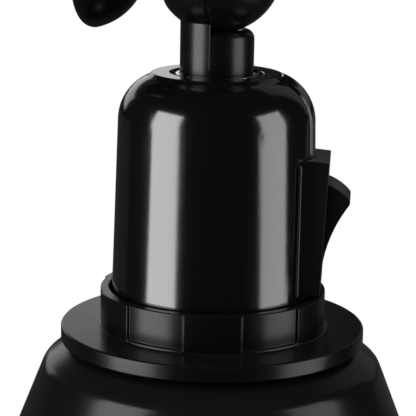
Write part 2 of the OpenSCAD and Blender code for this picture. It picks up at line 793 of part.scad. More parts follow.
// Bright metal bush: the neck stands in the recess in its top, inside a thin rim
module cap_bush() {
    color("silver") at_holder() difference() {
        union() {
            translate([0, 0, -bush_bottom]) cylinder(d = bush_d, h = bush_bottom - bush_seat);
            translate([0, 0, -bush_bottom]) cylinder(d = bush_rim_d, h = bush_bottom - bush_sink);
            translate([0, 0, -bush_bottom]) cylinder(d = bush_flange_d, h = bush_flange_t);
        }
        translate([0, 0, -bush_seat]) cylinder(d = neck_d + 2 * fit_gap, h = bush_seat + over);
        translate([0, 0, -bush_bottom - over])
            cylinder(d = nipple_d + 2 * fit_gap, h = bush_bottom + 2 * over);
    }
}
module cap_nut() {
    color("silver") at_holder(bush_bottom + nut_t) hex_nut(nut_d, nut_t, nipple_d + 2 * fit_gap);
}
// Outer outline of the cap: raised flat top, then a round shoulder and a slight draft, both grown by more
module cap_outline(more = 0) {
    intersection() {
        translate([0, -cap_len]) square([through, cap_len]);
        union() {
            polygon([
                [0, 0], [cap_top_r - top_rise, 0], [cap_top_r, -top_rise],
                [cap_top_r, -cap_len], [0, -cap_len]]);
            translate([cap_r - shoulder_r, -shoulder_h]) intersection() {
                circle(r = shoulder_r + more);
                square(shoulder_r + more);
            }
            polygon([
                [0, -shoulder_h], [cap_r + more, -shoulder_h],
                [cap_end_r + more, -cap_len], [0, -cap_len]]);
        }
    }
}
module cap_inside() {
    difference() {
        rotate_extrude() polygon([
            [0, -cap_wall], [bush_flange_d / 2 + fit_gap, -cap_wall],
            [cap_r - cap_wall, -shoulder_h - cap_wall],
            [thread_r - fit_gap, -cap_len + thread_zone_h], [thread_r, -cap_len + thread_zone_h],
            [thread_r, -cap_len - over], [0, -cap_len - over]]);
        translate([flat_back, -through / 2, -frame_bottom - flat_floor])
            cube([through, through, frame_h - frame_lip_h + flat_floor + cap_wall]);
    }
}
module holder_cap() {
    color("#0d0d0d") at_holder() difference() {
        union() {
            rotate_extrude() cap_outline();
            intersection() {
                rotate_extrude() cap_outline(cap_rib_h);
                translate([0, -cap_rib_w / 2, -ledge]) cube([through, cap_rib_w, ledge]);
            }
        }
        cap_inside();
        translate([flat_dist, -through / 2, -frame_bottom]) cube([through, through, frame_bottom - ledge]);
        translate([0, -housing_w / 2 - fit_gap, -rocker_drop - housing_half - fit_gap])
            cube([through, housing_w + 2 * fit_gap, 2 * (housing_half + fit_gap)]);
        translate([0, 0, -cap_wall - over]) cylinder(d = bush_d + 2 * fit_gap, h = cap_wall + 2 * over);
    }
}
module holder_sleeve() {
    color("#121212") at_holder() difference() {
        union() {
            translate([0, 0, -sleeve_bottom]) cylinder(d = sleeve_d, h = sleeve_len);
            translate([0, 0, -cap_len - over]) cylinder(r = thread_r - fit_gap, h = spigot_h + over);
        }
        translate([0, 0, -sleeve_bottom + sleeve_lip]) cylinder(r = core_r + fit_gap, h = through);
        translate([0, 0, -sleeve_bottom - over]) cylinder(r = core_r - sleeve_lip, h = through);
    }
}
module holder_core() {
    color("ivory") at_holder() difference() {
        translate([0, 0, -core_bottom]) cylinder(r = core_r, h = core_bottom - core_top);
        translate([0, 0, -core_bottom - over])
            cylinder(r = shell_r + shell_wall + fit_gap, h = core_bottom - shell_top + fit_gap + over);
        translate([0, 0, -core_bottom]) cylinder(r = well_r, h = core_bottom - core_disc_bottom);
    }
}
module screw_shell() {
    color("gold") at_holder(shell_top + shell_len) difference() {
        cylinder(r = shell_r + shell_wall, h = shell_len);
        translate([0, 0, -over]) cylinder(r = shell_r, h = shell_len + over - shell_wall);
        translate([0, 0, -over]) cylinder(r = shell_hole_r, h = shell_len + 2 * over);
    }
}
// Contact spring: a foot in the core's well and a tongue that leans down to the bulb
module centre_contact() {
    tongue = shell_hole_r - contact_inset + contact_past_axis;
    color("gold") at_holder(core_disc_bottom + contact_t) difference() {
        translate([-shell_hole_r + contact_inset, -contact_w / 2, 0]) {
            cube([contact_foot, contact_w, contact_t]);
            rotate([0, contact_rise, 0]) cube([tongue, contact_w, contact_t]);
        }
        translate([-through / 2, -through / 2, contact_t]) cube(through);
    }
}
module core_terminals() {
    color("gold") at_holder(core_top) for (s = [-1, 1])
        translate([-terminal_x - terminal_l / 2, s * terminal_y - terminal_w / 2, 0])
            cube([terminal_l, terminal_w, terminal_t]);
}
module terminal_screws() {
    color("silver") at_holder(core_top - terminal_t) for (s = [-1, 1])
        translate([-terminal_x - terminal_l / 2 + terminal_head_d / 2, s * terminal_y, 0]) difference() {
            cylinder(d = terminal_head_d, h = terminal_head_t);
            driver_slot(terminal_head_t);
        }
}
// One lead straight to the socket, one to the switch and one back from the switch to the socket
module head_leads() {
    switch_x = rocker_out - housing_depth - terminal_tail;
    land = -core_top + terminal_t + lead_r;
    color("saddlebrown") at_holder() {
        wire([[-1.4, lead_side, nipple_top - 3], [-1.4, lead_side, -nipple_bottom - 4],
            [-6, terminal_y, -nipple_bottom - 14], [-terminal_x + 2, terminal_y, land]], lead_r);
        wire([[-1.4, -lead_side, nipple_top - 3], [-1.4, -lead_side, -nipple_bottom - 2],
            [switch_x - lead_r, -lead_side, -rocker_drop + contact_z + 1],
            [switch_x - lead_r, -lead_side, -rocker_drop + contact_z - 2]], lead_r);
        wire([[switch_x - lead_r, 0, -rocker_drop + 1], [switch_x - lead_r, -1, -rocker_drop - 4],
            [-terminal_x + 2, -terminal_y, land + 3], [-terminal_x + 2, -terminal_y, land]], lead_r);
    }
}

// Rocker switch
module switch_frame() {
    color("#101010") difference() {
        union() {
            at_holder() difference() {
                translate([0, frame_w / 2, 0]) rotate([90, 0, 0]) linear_extrude(frame_w) polygon([
                    [flat_dist + fit_gap, -frame_top], [frame_face_top, -frame_top - frame_slope],
                    [frame_face_bottom, -frame_bottom], [flat_dist + fit_gap, -frame_bottom]]);
                intersection() {
                    rotate_extrude() cap_outline(cap_rib_h + fit_gap);
                    translate([-through / 2, -through / 2, -ledge - fit_gap]) cube(through);
                }
            }
            at_holder(rocker_drop) translate([rocker_out - housing_depth, -housing_w / 2, -housing_half])
                cube([housing_depth - rocker_out + flat_dist + 2 * fit_gap, housing_w, 2 * housing_half]);
        }
        at_holder(rocker_drop) translate(
            [rocker_out - housing_depth + housing_wall, -frame_window_w / 2, -frame_window])
                cube([through, frame_window_w, 2 * frame_window]);
        at_rocker() translate([0, pin_len / 2 + fit_gap, 0]) rotate([90, 0, 0])
            cylinder(d = rocker_pin_d + 2 * pin_gap, h = pin_len + 2 * fit_gap, $fn = 48);
        at_rocker() for (z = [0, contact_z]) translate([-through / 2 - bridge_x, -bridge_w / 2 - fit_gap, z])
            translate([0, 0, -contact_pad_half - fit_gap])
                cube([through / 2, bridge_w + 2 * fit_gap, 2 * (contact_pad_half + fit_gap)]);
    }
}
// Rocker at rest with its lower end pressed in: round ends about the pivot and a hollow face
module switch_rocker() {
    color("#141414") at_rocker(rocker_throw) difference() {
        union() {
            translate([0, rocker_w / 2, 0]) rotate([90, 0, 0]) linear_extrude(rocker_w)
                offset(r = rocker_tip_r) offset(delta = -rocker_tip_r) difference() {
                    circle(r = rocker_r);
                    translate([-rocker_back - 2 * rocker_r, -rocker_r]) square(2 * rocker_r);
                    translate([rocker_tip_x - rocker_dish + rocker_hollow_r, 0])
                        circle(r = rocker_hollow_r, $fn = 180);
                    translate([rocker_tip_x, -rocker_r]) square(2 * rocker_r);
                }
            translate([-stem_end, -stem_half, -stem_half]) cube([stem_end, 2 * stem_half, 2 * stem_half]);
            translate([0, pin_len / 2, 0]) rotate([90, 0, 0])
                cylinder(d = rocker_pin_d, h = pin_len, $fn = 48);
        }
        translate([-spring_start, 0, 0]) rotate([0, -90, 0]) cylinder(r = stem_bore_r, h = stem_end);
    }
}
module rocker_plunger() {
    color("white") at_rocker(rocker_throw) rotate([0, -90, 0]) {
        translate([0, 0, plunger_back]) cylinder(r = plunger_r, h = plunger_tip - plunger_back, $fn = 32);
        translate([0, 0, plunger_tip]) sphere(r = plunger_r, $fn = 32);
    }
}
module plunger_spring() {
    pitch = (plunger_back - spring_start - 2 * spring_wire_r - fit_gap) / spring_turns;
    color("silver") at_rocker(rocker_throw) rotate([0, -90, 0])
        translate([0, 0, spring_start + spring_wire_r + fit_gap / 2])
            coil(spring_r, spring_wire_r, spring_turns, pitch);
}
// Seesaw contact with a round pivot, tipped by the plunger, at rest with its upper end in
module contact_bridge() {
    color("gold") at_rocker() translate([-bridge_x, 0, 0]) rotate([0, -bridge_tip, 0]) {
        translate([-bridge_t / 2, -bridge_w / 2, -bridge_half]) cube([bridge_t, bridge_w, 2 * bridge_half]);
        translate([0, bridge_w / 2, 0]) rotate([90, 0, 0])
            cylinder(r = bridge_pivot_r, h = bridge_w, $fn = 32);
    }
}
// Cradle behind the middle of the bridge and contact pad behind its upper end, with tails out of the housing
module switch_terminals() {
    tail_x = housing_depth + terminal_tail;
    pad_back = bridge_x + bridge_t / 2 + contact_z * tan(bridge_tip) + bridge_gap;
    cradle_back = bridge_x + bridge_pivot_r + bridge_gap;
    color("gold") at_rocker() {
        translate([-tail_x, -bridge_w / 2, -contact_pad_half])
            cube([tail_x - cradle_back, bridge_w, 2 * contact_pad_half]);
        translate([-tail_x, -bridge_w / 2, contact_z - contact_pad_half])
            cube([tail_x - pad_back, bridge_w, 2 * contact_pad_half]);
    }
}

// Shade ring and shade
// Shallow pockets between the ribs of a collar of height h that stands on z = 0
module pockets(h) {
    difference() {
        for (i = [0 : rib_count - 1]) rotate([0, 0, 360 * i / rib_count])
            translate([0, -pocket_w / 2, pocket_floor]) cube([collar_r + over, pocket_w, h]);
        cylinder(r = collar_r - pocket_depth, h = h + over);
    }
}
module shade_ring() {
    color("#151515") at_holder(flange_drop) rotate([0, 0, ring_turn]) difference() {
        union() {
            translate([0, 0, -flange_t]) rotate_extrude() disc_outline(flange_d / 2, flange_t, flange_edge);
            translate([0, 0, -flange_seat_t]) cylinder(r = flange_seat_r, h = flange_seat_t);
            cylinder(r = collar_r, h = collar_h);
        }
        pockets(collar_h);
        translate([0, 0, -through / 2]) cylinder(r = ring_bore_r, h = through);
        translate([0, 0, flange_drop - cap_len - fit_gap]) cylinder(d = collar_bore_d, h = through);
    }
}
// Points of the shade's wall at a distance in from its outside: flat top, then the round shoulder
function shade_line(inset) =
    let (r = shade_shoulder_r - inset, step = (90 - shade_angle) / arc_steps)
        concat([[shade_hole_r, shade_centre.y + r]],
            [for (i = [0 : arc_steps]) shade_centre + r * [sin(i * step), cos(i * step)]]);
// Points of the rolled rim, from the outside of the wall round to its inside
function rim_line() =
    let (start = asin(shade_wall / 2 / rim_r), step = (360 - 2 * start) / arc_steps,
        up = [-sin(shade_angle), cos(shade_angle)], out = [cos(shade_angle), sin(shade_angle)])
            [for (i = [0 : arc_steps])
                rim_centre + rim_r * (cos(start + i * step) * up + sin(start + i * step) * out)];
function reversed(points) = [for (i = [len(points) - 1 : -1 : 0]) points[i]];
module shade() {
    color("#171717") at_holder() rotate_extrude()
        polygon(concat(shade_line(0), rim_line(), reversed(shade_line(shade_wall))));
}
// Ribbed ring that clamps the shade from inside
module shade_lock_ring() {
    color("#151515") at_holder(shade_top + shade_wall) rotate([180, 0, ring_turn]) difference() {
        union() {
            cylinder(d = lock_ring_d, h = lock_flange_t);
            translate([0, 0, lock_flange_t]) cylinder(r = collar_r, h = lock_collar_h);
        }
        translate([0, 0, lock_flange_t]) pockets(lock_collar_h);
        translate([0, 0, -over]) cylinder(r = ring_bore_r, h = through);
    }
}

wall_strap();
strap_studs();
earth_screw();
canopy();
canopy_nuts();
swivel_base();
tail_washer();
tail_nut();
base_cap();
pivot_washer();
swivel_turret();
pivot_tube();
wave_washer();
pivot_nut();
turret_cap();
arm_tube();
arm_set_screw();
arm_leads();
upper_knuckle();
knuckle_washer();
tilt_knob();
knob_stud();
knob_washer();
spring_washer();
lower_knuckle();
holder_nipple();
cap_bush();
cap_nut();
holder_cap();
holder_sleeve();
holder_core();
screw_shell();
centre_contact();
core_terminals();
terminal_screws();
head_leads();
switch_frame();
switch_rocker();
rocker_plunger();
plunger_spring();
contact_bridge();
switch_terminals();
shade_ring();
shade();
shade_lock_ring();
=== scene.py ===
"""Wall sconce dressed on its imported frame: finishes for every piece, turned and ribbed pieces with
rounded edges, a studio of soft strips, and the camera of the close-up."""
import json
import bmesh
import bpy
import numpy as np
from mathutils import Matrix, Vector


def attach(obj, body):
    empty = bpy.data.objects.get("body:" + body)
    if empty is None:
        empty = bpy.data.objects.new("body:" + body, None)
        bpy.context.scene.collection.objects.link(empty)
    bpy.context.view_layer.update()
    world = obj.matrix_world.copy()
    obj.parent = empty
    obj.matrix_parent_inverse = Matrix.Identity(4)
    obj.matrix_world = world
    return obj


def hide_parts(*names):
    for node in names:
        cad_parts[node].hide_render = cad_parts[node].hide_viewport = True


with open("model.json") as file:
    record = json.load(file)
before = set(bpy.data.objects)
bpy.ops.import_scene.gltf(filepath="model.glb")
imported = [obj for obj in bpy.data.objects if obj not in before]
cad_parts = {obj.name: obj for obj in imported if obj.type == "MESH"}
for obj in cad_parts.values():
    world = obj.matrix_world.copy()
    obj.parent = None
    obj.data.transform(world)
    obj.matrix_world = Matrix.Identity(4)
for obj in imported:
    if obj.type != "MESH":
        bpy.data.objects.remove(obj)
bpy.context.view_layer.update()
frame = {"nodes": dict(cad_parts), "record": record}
nodes = frame["nodes"]
scene = bpy.context.scene
MM = 0.001
FULL_TURN = 2.0 * np.pi

# Sizes shared with the part's source, in millimetres
ARM_REACH = 200.0
BALL_Z = -56.2
NECK_LEN = 20.0
HOLDER_TURN = 7.0
RING_TURN = 5.0
HOLDER_TOP = BALL_Z - NECK_LEN

# Camera: the close-up's own viewing angle
CAMERA_PLACE = (0.0702, -0.536151, -0.02644)
CAMERA_TURN = np.radians(12.0)
CAMERA_PITCH = np.radians(12.578)
CAMERA_ROLL = np.radians(1.0)
CAMERA_LENS = 155.19
SENSOR_WIDTH = 36.0
NEAR_CLIP = 0.01


def camera_axes():
    """Right, up and forward of the camera: turned about Z, pitched down, then rolled about its line
    of sight."""
    turn, pitch, roll = CAMERA_TURN, CAMERA_PITCH, CAMERA_ROLL
    right = np.array([np.cos(turn), np.sin(turn), 0.0])
    level = np.array([-np.sin(turn), np.cos(turn), 0.0])
    forward = np.cos(pitch) * level + np.array([0.0, 0.0, -np.sin(pitch)])
    up = np.sin(pitch) * level + np.array([0.0, 0.0, np.cos(pitch)])
    rolled_right = np.cos(roll) * right + np.sin(roll) * up
    rolled_up = -np.sin(roll) * right + np.cos(roll) * up
    return rolled_right, rolled_up, forward


def place_camera():
    """Sets the camera's axes as the columns of its matrix."""
    right, up, forward = camera_axes()
    lens = bpy.data.cameras.new("close_up")
    lens.lens = CAMERA_LENS
    lens.sensor_width = SENSOR_WIDTH
    lens.clip_start = NEAR_CLIP
    camera = bpy.data.objects.new("close_up", lens)
    scene.collection.objects.link(camera)
    columns = np.eye(4)
    columns[:3, 0] = right
    columns[:3, 1] = up
    columns[:3, 2] = -forward
    columns[:3, 3] = CAMERA_PLACE
    camera.matrix_world = Matrix(columns.tolist())
    scene.camera = camera


place_camera()

# Studio: strips of soft light, a white surround and a pale floor, in metres
STUDIO_DROP = 25.0
STUDIO_CENTRE = np.array([0.0, -ARM_REACH, HOLDER_TOP - STUDIO_DROP]) * MM


def studio_direction(azimuth, elevation):
    """Unit vector seen from the lamp: azimuth from the camera towards its right, elevation above the
    horizon, both in degrees."""
    a, e = np.radians(azimuth), np.radians(elevation)
    back = np.array([np.sin(CAMERA_TURN), -np.cos(CAMERA_TURN), 0.0])
    side = np.array([np.cos(CAMERA_TURN), np.sin(CAMERA_TURN), 0.0])
    level = np.cos(a) * back + np.sin(a) * side
    return np.cos(e) * level + np.array([0.0, 0.0, np.sin(e)])


def soft_panel(name, azimuth, elevation, distance, width, height, radiance, glossy=True, upright=False):
    """Rectangular lamp that faces the holder, or stands upright. Its power is radiance times pi times
    its area."""
    lamp = bpy.data.lights.new(name, "AREA")
    lamp.shape = "RECTANGLE"
    lamp.size = width
    lamp.size_y = height
    lamp.energy = radiance * np.pi * width * height
    panel = bpy.data.objects.new(name, lamp)
    scene.collection.objects.link(panel)
    away = Vector(studio_direction(azimuth, elevation))
    panel.location = Vector(STUDIO_CENTRE) + distance * away
    facing = Vector(studio_direction(azimuth, 0.0)) if upright else away
    panel.rotation_euler = facing.to_track_quat("Z", "Y").to_euler()
    panel.visible_camera = False
    panel.visible_glossy = glossy


soft_panel("left_strip", azimuth=-60.1, elevation=5.1, distance=0.462,
           width=0.304, height=0.50, radiance=4.9, upright=True)
soft_panel("right_strip", azimuth=70.3, elevation=-1.7, distance=0.46,
           width=0.285, height=0.61, radiance=2.45, upright=True)
soft_panel("right_card", azimuth=151.0, elevation=28.0, distance=1.2,
           width=0.80, height=1.15, radiance=0.125)
soft_panel("right_low_card", azimuth=155.0, elevation=-13.0, distance=1.0,
           width=0.90, height=0.36, radiance=0.06)
soft_panel("left_low_card", azimuth=-140.0, elevation=-13.0, distance=1.0,
           width=0.90, height=0.36, radiance=0.03)
soft_panel("top_sheet", azimuth=-20.0, elevation=80.0, distance=1.60,
           width=2.40, height=2.40, radiance=1.6, glossy=False)


def link(tree, source, target):
    """Joins two sockets of a node tree."""
    tree.links.new(source, target)


def feed(tree, value, socket):
    """Joins a socket to another one, or sets it to a number or colour."""
    if isinstance(value, bpy.types.NodeSocket):
        link(tree, value, socket)
    else:
        socket.default_value = value


def math(tree, operation, a, b=None):
    """Math node on sockets or numbers; gives its output."""
    node = tree.nodes.new("ShaderNodeMath")
    node.operation = operation
    feed(tree, a, node.inputs[0])
    if b is not None:
        feed(tree, b, node.inputs[1])
    return node.outputs[0]


def along(tree, way, axis):
    """Dot product of a direction socket with a fixed axis."""
    node = tree.nodes.new("ShaderNodeVectorMath")
    node.operation = "DOT_PRODUCT"
    node.inputs[1].default_value = axis.tolist()
    link(tree, way, node.inputs[0])
    return node.outputs["Value"]


# Places of the low input, the high input and the result among a Mix node's sockets
MIX_PLACES = {"FLOAT": (2, 3, 0), "RGBA": (6, 7, 2)}


def mixed(tree, factor, low, high, kind="FLOAT"):
    """Low where the factor is 0 and high where it is 1; each is a number, a colour or a socket."""
    low_at, high_at, result_at = MIX_PLACES[kind]
    node = tree.nodes.new("ShaderNodeMix")
    node.data_type = kind
    link(tree, factor, node.inputs[0])
    feed(tree, low, node.inputs[low_at])
    feed(tree, high, node.inputs[high_at])
    return node.outputs[result_at]


def eased(tree, value, start, stop, low=0.0, high=1.0):
    """Smooth step of a socket, from low at start to high at stop."""
    node = tree.nodes.new("ShaderNodeMapRange")
    node.interpolation_type = "SMOOTHSTEP"
    node.inputs["From Min"].default_value = start
    node.inputs["From Max"].default_value = stop
    node.inputs["To Min"].default_value = low
    node.inputs["To Max"].default_value = high
    link(tree, value, node.inputs["Value"])
    return node.outputs["Result"]


BACKDROP_AZIMUTH = -159.0
BACKDROP_ELEVATION = 11.0
BACKDROP_HALF_WIDTH = 0.36
BACKDROP_HALF_HEIGHT = 0.14
BACKDROP_BLUR = 0.06
DIM_LEVEL = 0.011
FILL_LEVEL = 0.25


def build_surround():
    """White to the camera; to gloss and glass, a white backdrop behind the lamp and dark round it; a
    dim fill otherwise."""
    world = bpy.data.worlds.new("white_surround")
    world.use_nodes = True
    scene.world = world
    tree = world.node_tree
    tree.nodes.clear()
    path = tree.nodes.new("ShaderNodeLightPath")
    shine = math(tree, "MAXIMUM", path.outputs["Is Glossy Ray"], path.outputs["Is Transmission Ray"])
    way = tree.nodes.new("ShaderNodeTexCoord").outputs["Generated"]
    behind = studio_direction(BACKDROP_AZIMUTH, BACKDROP_ELEVATION)
    across = studio_direction(BACKDROP_AZIMUTH + 90.0, 0.0)
    wide = math(tree, "DIVIDE", along(tree, way, across), BACKDROP_HALF_WIDTH)
    tall = math(tree, "DIVIDE", along(tree, way, np.cross(behind, across)), BACKDROP_HALF_HEIGHT)
    reach = math(tree, "MAXIMUM", math(tree, "ABSOLUTE", wide), math(tree, "ABSOLUTE", tall))
    within = eased(tree, reach, 1.0 + BACKDROP_BLUR, 1.0 - BACKDROP_BLUR)
    ahead = math(tree, "GREATER_THAN", along(tree, way, behind), 0.0)
    window = math(tree, "MULTIPLY", within, ahead)
    seen = mixed(tree, shine, FILL_LEVEL, mixed(tree, window, DIM_LEVEL, 1.0))
    shell = tree.nodes.new("ShaderNodeBackground")
    shell.inputs["Color"].default_value = (1.0, 1.0, 1.0, 1.0)
    link(tree, mixed(tree, path.outputs["Is Camera Ray"], seen, 1.0), shell.inputs["Strength"])
    out = tree.nodes.new("ShaderNodeOutputWorld")
    link(tree, shell.outputs["Background"], out.inputs["Surface"])


build_surround()

FLOOR_Z = -0.62
FLOOR_RADIUS = 1.0
FLOOR_POINTS = 96
SHADOW_RADIUS = 0.45
FLOOR_PALE = 0.85
FLOOR_IN_GLOSS = 0.05
GLOW_UNDER_LAMP = 0.6


def build_floor():
    """Pale disc below the lamp: lit near its middle, where the shadow falls, and plain white towards
    its edge."""
    centre = (0.0, -ARM_REACH * MM, FLOOR_Z)
    angle = np.linspace(0.0, FULL_TURN, FLOOR_POINTS, endpoint=False)
    disc = np.stack([np.cos(angle), np.sin(angle), np.zeros_like(angle)], axis=1)
    rim = FLOOR_RADIUS * disc + centre
    mesh = bpy.data.meshes.new("studio_floor")
    mesh.from_pydata(rim.tolist(), [], [tuple(range(FLOOR_POINTS))])
    floor = bpy.data.objects.new("studio_floor", mesh)
    scene.collection.objects.link(floor)
    paper = bpy.data.materials.new("floor_paper")
    paper.use_nodes = True
    tree = paper.node_tree
    tree.nodes.clear()
    path = tree.nodes.new("ShaderNodeLightPath")
    lit = tree.nodes.new("ShaderNodeBsdfDiffuse")
    pale = mixed(tree, path.outputs["Is Glossy Ray"], FLOOR_PALE, FLOOR_IN_GLOSS)
    link(tree, pale, lit.inputs["Color"])
    glow = tree.nodes.new("ShaderNodeEmission")
    glow.inputs["Strength"].default_value = 1.0
    away = tree.nodes.new("ShaderNodeVectorMath")
    away.operation = "DISTANCE"
    away.inputs[1].default_value = centre
    where = tree.nodes.new("ShaderNodeTexCoord").outputs["Object"]
    link(tree, where, away.inputs[0])
    fade = eased(tree, away.outputs["Value"], SHADOW_RADIUS, FLOOR_RADIUS, low=GLOW_UNDER_LAMP)
    share = tree.nodes.new("ShaderNodeMixShader")
    link(tree, math(tree, "MULTIPLY", path.outputs["Is Camera Ray"], fade), share.inputs[0])
    link(tree, lit.outputs[0], share.inputs[1])
    link(tree, glow.outputs[0], share.inputs[2])
    out = tree.nodes.new("ShaderNodeOutputMaterial")
    link(tree, share.outputs[0], out.inputs["Surface"])
    mesh.materials.append(paper)


build_floor()
scene.view_settings.view_transform = "Standard"

# Shared effects, one node group each; noise scales are per metre
GRAIN_SCALE = 2500.0
GRAIN_BROAD = 0.06
GRAIN_FINE_SHARE = 0.7
# Grey on upward faces: thin dusting at small amounts, painted light from above at the switch frame's large
# amount
DUST_AND_LIGHT_CLOUD_SCALE = 60.0
DUST_AND_LIGHT_SPECK_SCALE = 1800.0
DUST_AND_LIGHT_SPECK_SHARE = 0.6
DUST_AND_LIGHT_GREY = (0.32, 0.32, 0.32, 1.0)
PATCH_SCALE = 90.0
BUMP_DEPTH = 0.0002
NOISE_DETAIL = 3.0
BLACK = (0.02, 0.02, 0.02, 1.0)


def new_group(name, inputs, outputs):
    """Empty shader node group with inputs (name, type, default) and outputs (name, type)."""
    group = bpy.data.node_groups.new(name, "ShaderNodeTree")
    for label, kind, default in inputs:
        socket = group.interface.new_socket(label, in_out="INPUT", socket_type=kind)
        socket.default_value = default
    for label, kind in outputs:
        group.interface.new_socket(label, in_out="OUTPUT", socket_type=kind)
    first = group.nodes.new("NodeGroupInput")
    last = group.nodes.new("NodeGroupOutput")
    return group, first, last


def place_group(tree, group, values):
    """Places a node group in a tree and feeds its inputs by name."""
    node = tree.nodes.new("ShaderNodeGroup")
    node.node_tree = group
    for label, value in values.items():
        feed(tree, value, node.inputs[label])
    return node


def object_place(tree):
    """Object coordinates of the surface."""
    return tree.nodes.new("ShaderNodeTexCoord").outputs["Object"]


def noise(tree, where, scale):
    """Noise texture at a place; gives its factor."""
    node = tree.nodes.new("ShaderNodeTexNoise")
    node.inputs["Detail"].default_value = NOISE_DETAIL
    feed(tree, scale, node.inputs["Scale"])
    link(tree, where, node.inputs["Vector"])
    return node.outputs[0]


def make_grain():
    """Fine grain of paint or moulding: height from noise at two scales, and a roughness round a
    middle value."""
    group, first, last = new_group(
        "fine_grain",
        [("Scale", "NodeSocketFloat", GRAIN_SCALE), ("Roughness", "NodeSocketFloat", 0.4),
         ("Spread", "NodeSocketFloat", 0.1)],
        [("Height", "NodeSocketFloat"), ("Roughness", "NodeSocketFloat")])
    where = object_place(group)
    fine = noise(group, where, first.outputs["Scale"])
    broad = noise(group, where, math(group, "MULTIPLY", first.outputs["Scale"], GRAIN_BROAD))
    fine_height = math(group, "MULTIPLY", fine, GRAIN_FINE_SHARE)
    broad_height = math(group, "MULTIPLY", broad, 1.0 - GRAIN_FINE_SHARE)
    link(group, math(group, "ADD", fine_height, broad_height), last.inputs["Height"])
    swing = math(group, "MULTIPLY", math(group, "SUBTRACT", broad, 0.5), first.outputs["Spread"])
    speck = math(group, "MULTIPLY", math(group, "SUBTRACT", fine, 0.5), first.outputs["Spread"])
    rough = math(group, "ADD", first.outputs["Roughness"], math(group, "ADD", swing, speck))
    link(group, rough, last.inputs["Roughness"])
    return group


def make_dust_and_light():
    """Grey on upward faces by normal times cloudy noise: thin dusting when small, painted top light when
    large.
    """
    group, first, last = new_group(
        "dust_and_top_light",
        [("Color", "NodeSocketColor", BLACK), ("Amount", "NodeSocketFloat", 0.1)],
        [("Color", "NodeSocketColor")])
    facing = group.nodes.new("ShaderNodeNewGeometry")
    split = group.nodes.new("ShaderNodeSeparateXYZ")
    link(group, facing.outputs["Normal"], split.inputs["Vector"])
    upward = math(group, "MAXIMUM", split.outputs["Z"], 0.0)
    where = object_place(group)
    specks = math(group, "MULTIPLY", noise(group, where, DUST_AND_LIGHT_SPECK_SCALE), DUST_AND_LIGHT_SPECK_SHARE)
    cloud = math(group, "ADD", noise(group, where, DUST_AND_LIGHT_CLOUD_SCALE), specks)
    mask = math(group, "MULTIPLY", math(group, "MULTIPLY", upward, cloud), first.outputs["Amount"])
    dusty_and_lit = mixed(group, mask, first.outputs["Color"], DUST_AND_LIGHT_GREY, kind="RGBA")
    link(group, dusty_and_lit, last.inputs["Color"])
    return group


def make_patches():
    """Slow change of colour between a darker and a lighter one, by a broad noise."""
    group, first, last = new_group(
        "colour_patches",
        [("Dark", "NodeSocketColor", BLACK), ("Light", "NodeSocketColor", BLACK)],
        [("Color", "NodeSocketColor")])
    patch = noise(group, object_place(group), PATCH_SCALE)
    varied = mixed(group, patch, first.outputs["Dark"], first.outputs["Light"], kind="RGBA")
    link(group, varied, last.inputs["Color"])
    return group


GRAIN = make_grain()
DUST_AND_LIGHT = make_dust_and_light()
PATCHES = make_patches()


def scaled(color, share):
    """A colour times a share, no brighter than 1, with full alpha."""
    return tuple(min(1.0, level * share) for level in color) + (1.0,)


def finish(name, color, roughness, spread=0.08, scale=GRAIN_SCALE, bump=0.02, dust=0.0, metallic=0.0,
           ior=1.5, specular=0.5, tint=0.15):
    """Material of one finish: its colour varied a little by noise, grain on roughness and bump, and grey
    on
    upward faces where wanted: thin dusting when small, painted top light when large."""
    material = bpy.data.materials.new(name)
    material.use_nodes = True
    tree = material.node_tree
    shader = tree.nodes["Principled BSDF"]
    shader.inputs["Metallic"].default_value = metallic
    shader.inputs["IOR"].default_value = ior
    shader.inputs["Specular IOR Level"].default_value = specular
    grain = place_group(tree, GRAIN, {"Scale": scale, "Roughness": roughness, "Spread": spread})
    link(tree, grain.outputs["Roughness"], shader.inputs["Roughness"])
    raised = tree.nodes.new("ShaderNodeBump")
    raised.inputs["Strength"].default_value = bump
    raised.inputs["Distance"].default_value = BUMP_DEPTH
    link(tree, grain.outputs["Height"], raised.inputs["Height"])
    link(tree, raised.outputs["Normal"], shader.inputs["Normal"])
    tones = {"Dark": scaled(color, 1.0 - tint), "Light": scaled(color, 1.0 + tint)}
    paint = place_group(tree, PATCHES, tones).outputs["Color"]
    if dust > 0.0:
        paint = place_group(tree, DUST_AND_LIGHT, {"Color": paint, "Amount": dust}).outputs["Color"]
    link(tree, paint, shader.inputs["Base Color"])
    return material


def grey(level):
    """The same linear value for red, green and blue."""
    return (level, level, level)


SATIN_BLACK = finish("satin_black_paint", grey(0.0022), 0.27, bump=0.03, dust=0.005, ior=1.45)
CAP_GLOSS = finish("gloss_black_moulding", grey(0.002), 0.135, spread=0.05, scale=3500.0, bump=0.03,
                   ior=1.9)
RING_BLACK = finish("ring_moulding", grey(0.0022), 0.25, bump=0.03, dust=0.006, specular=0.34)
SWITCH_BLACK = finish("switch_moulding", grey(0.0032), 0.30, bump=0.04, dust=0.006)
# Its large share of grey on upward faces is painted light from above, not dusting.
FRAME_BLACK = finish("frame_moulding", grey(0.0055), 0.30, bump=0.04, dust=0.15)
SHADE_BLACK = finish("shade_powder_coat", grey(0.0034), 0.22, scale=1800.0, bump=0.03, dust=0.004,
                     specular=0.29)
SHADE_WHITE = finish("shade_white_inside", grey(0.78), 0.5, scale=1800.0, bump=0.06, tint=0.04)
BRIGHT_METAL = finish("bright_turned_metal", grey(0.72), 0.16, metallic=1.0, tint=0.05)
PLATED_STEEL = finish("zinc_plated_steel", grey(0.50), 0.30, metallic=1.0)
BRASS = finish("pressed_brass", (0.70, 0.50, 0.22), 0.26, metallic=1.0)
PORCELAIN = finish("white_insulator", grey(0.74), 0.25, tint=0.04)
FIBRE = finish("fibre_washer", (0.24, 0.17, 0.11), 0.75, bump=0.3)
LEAD_COVER = finish("lead_cover", (0.10, 0.045, 0.02), 0.45)

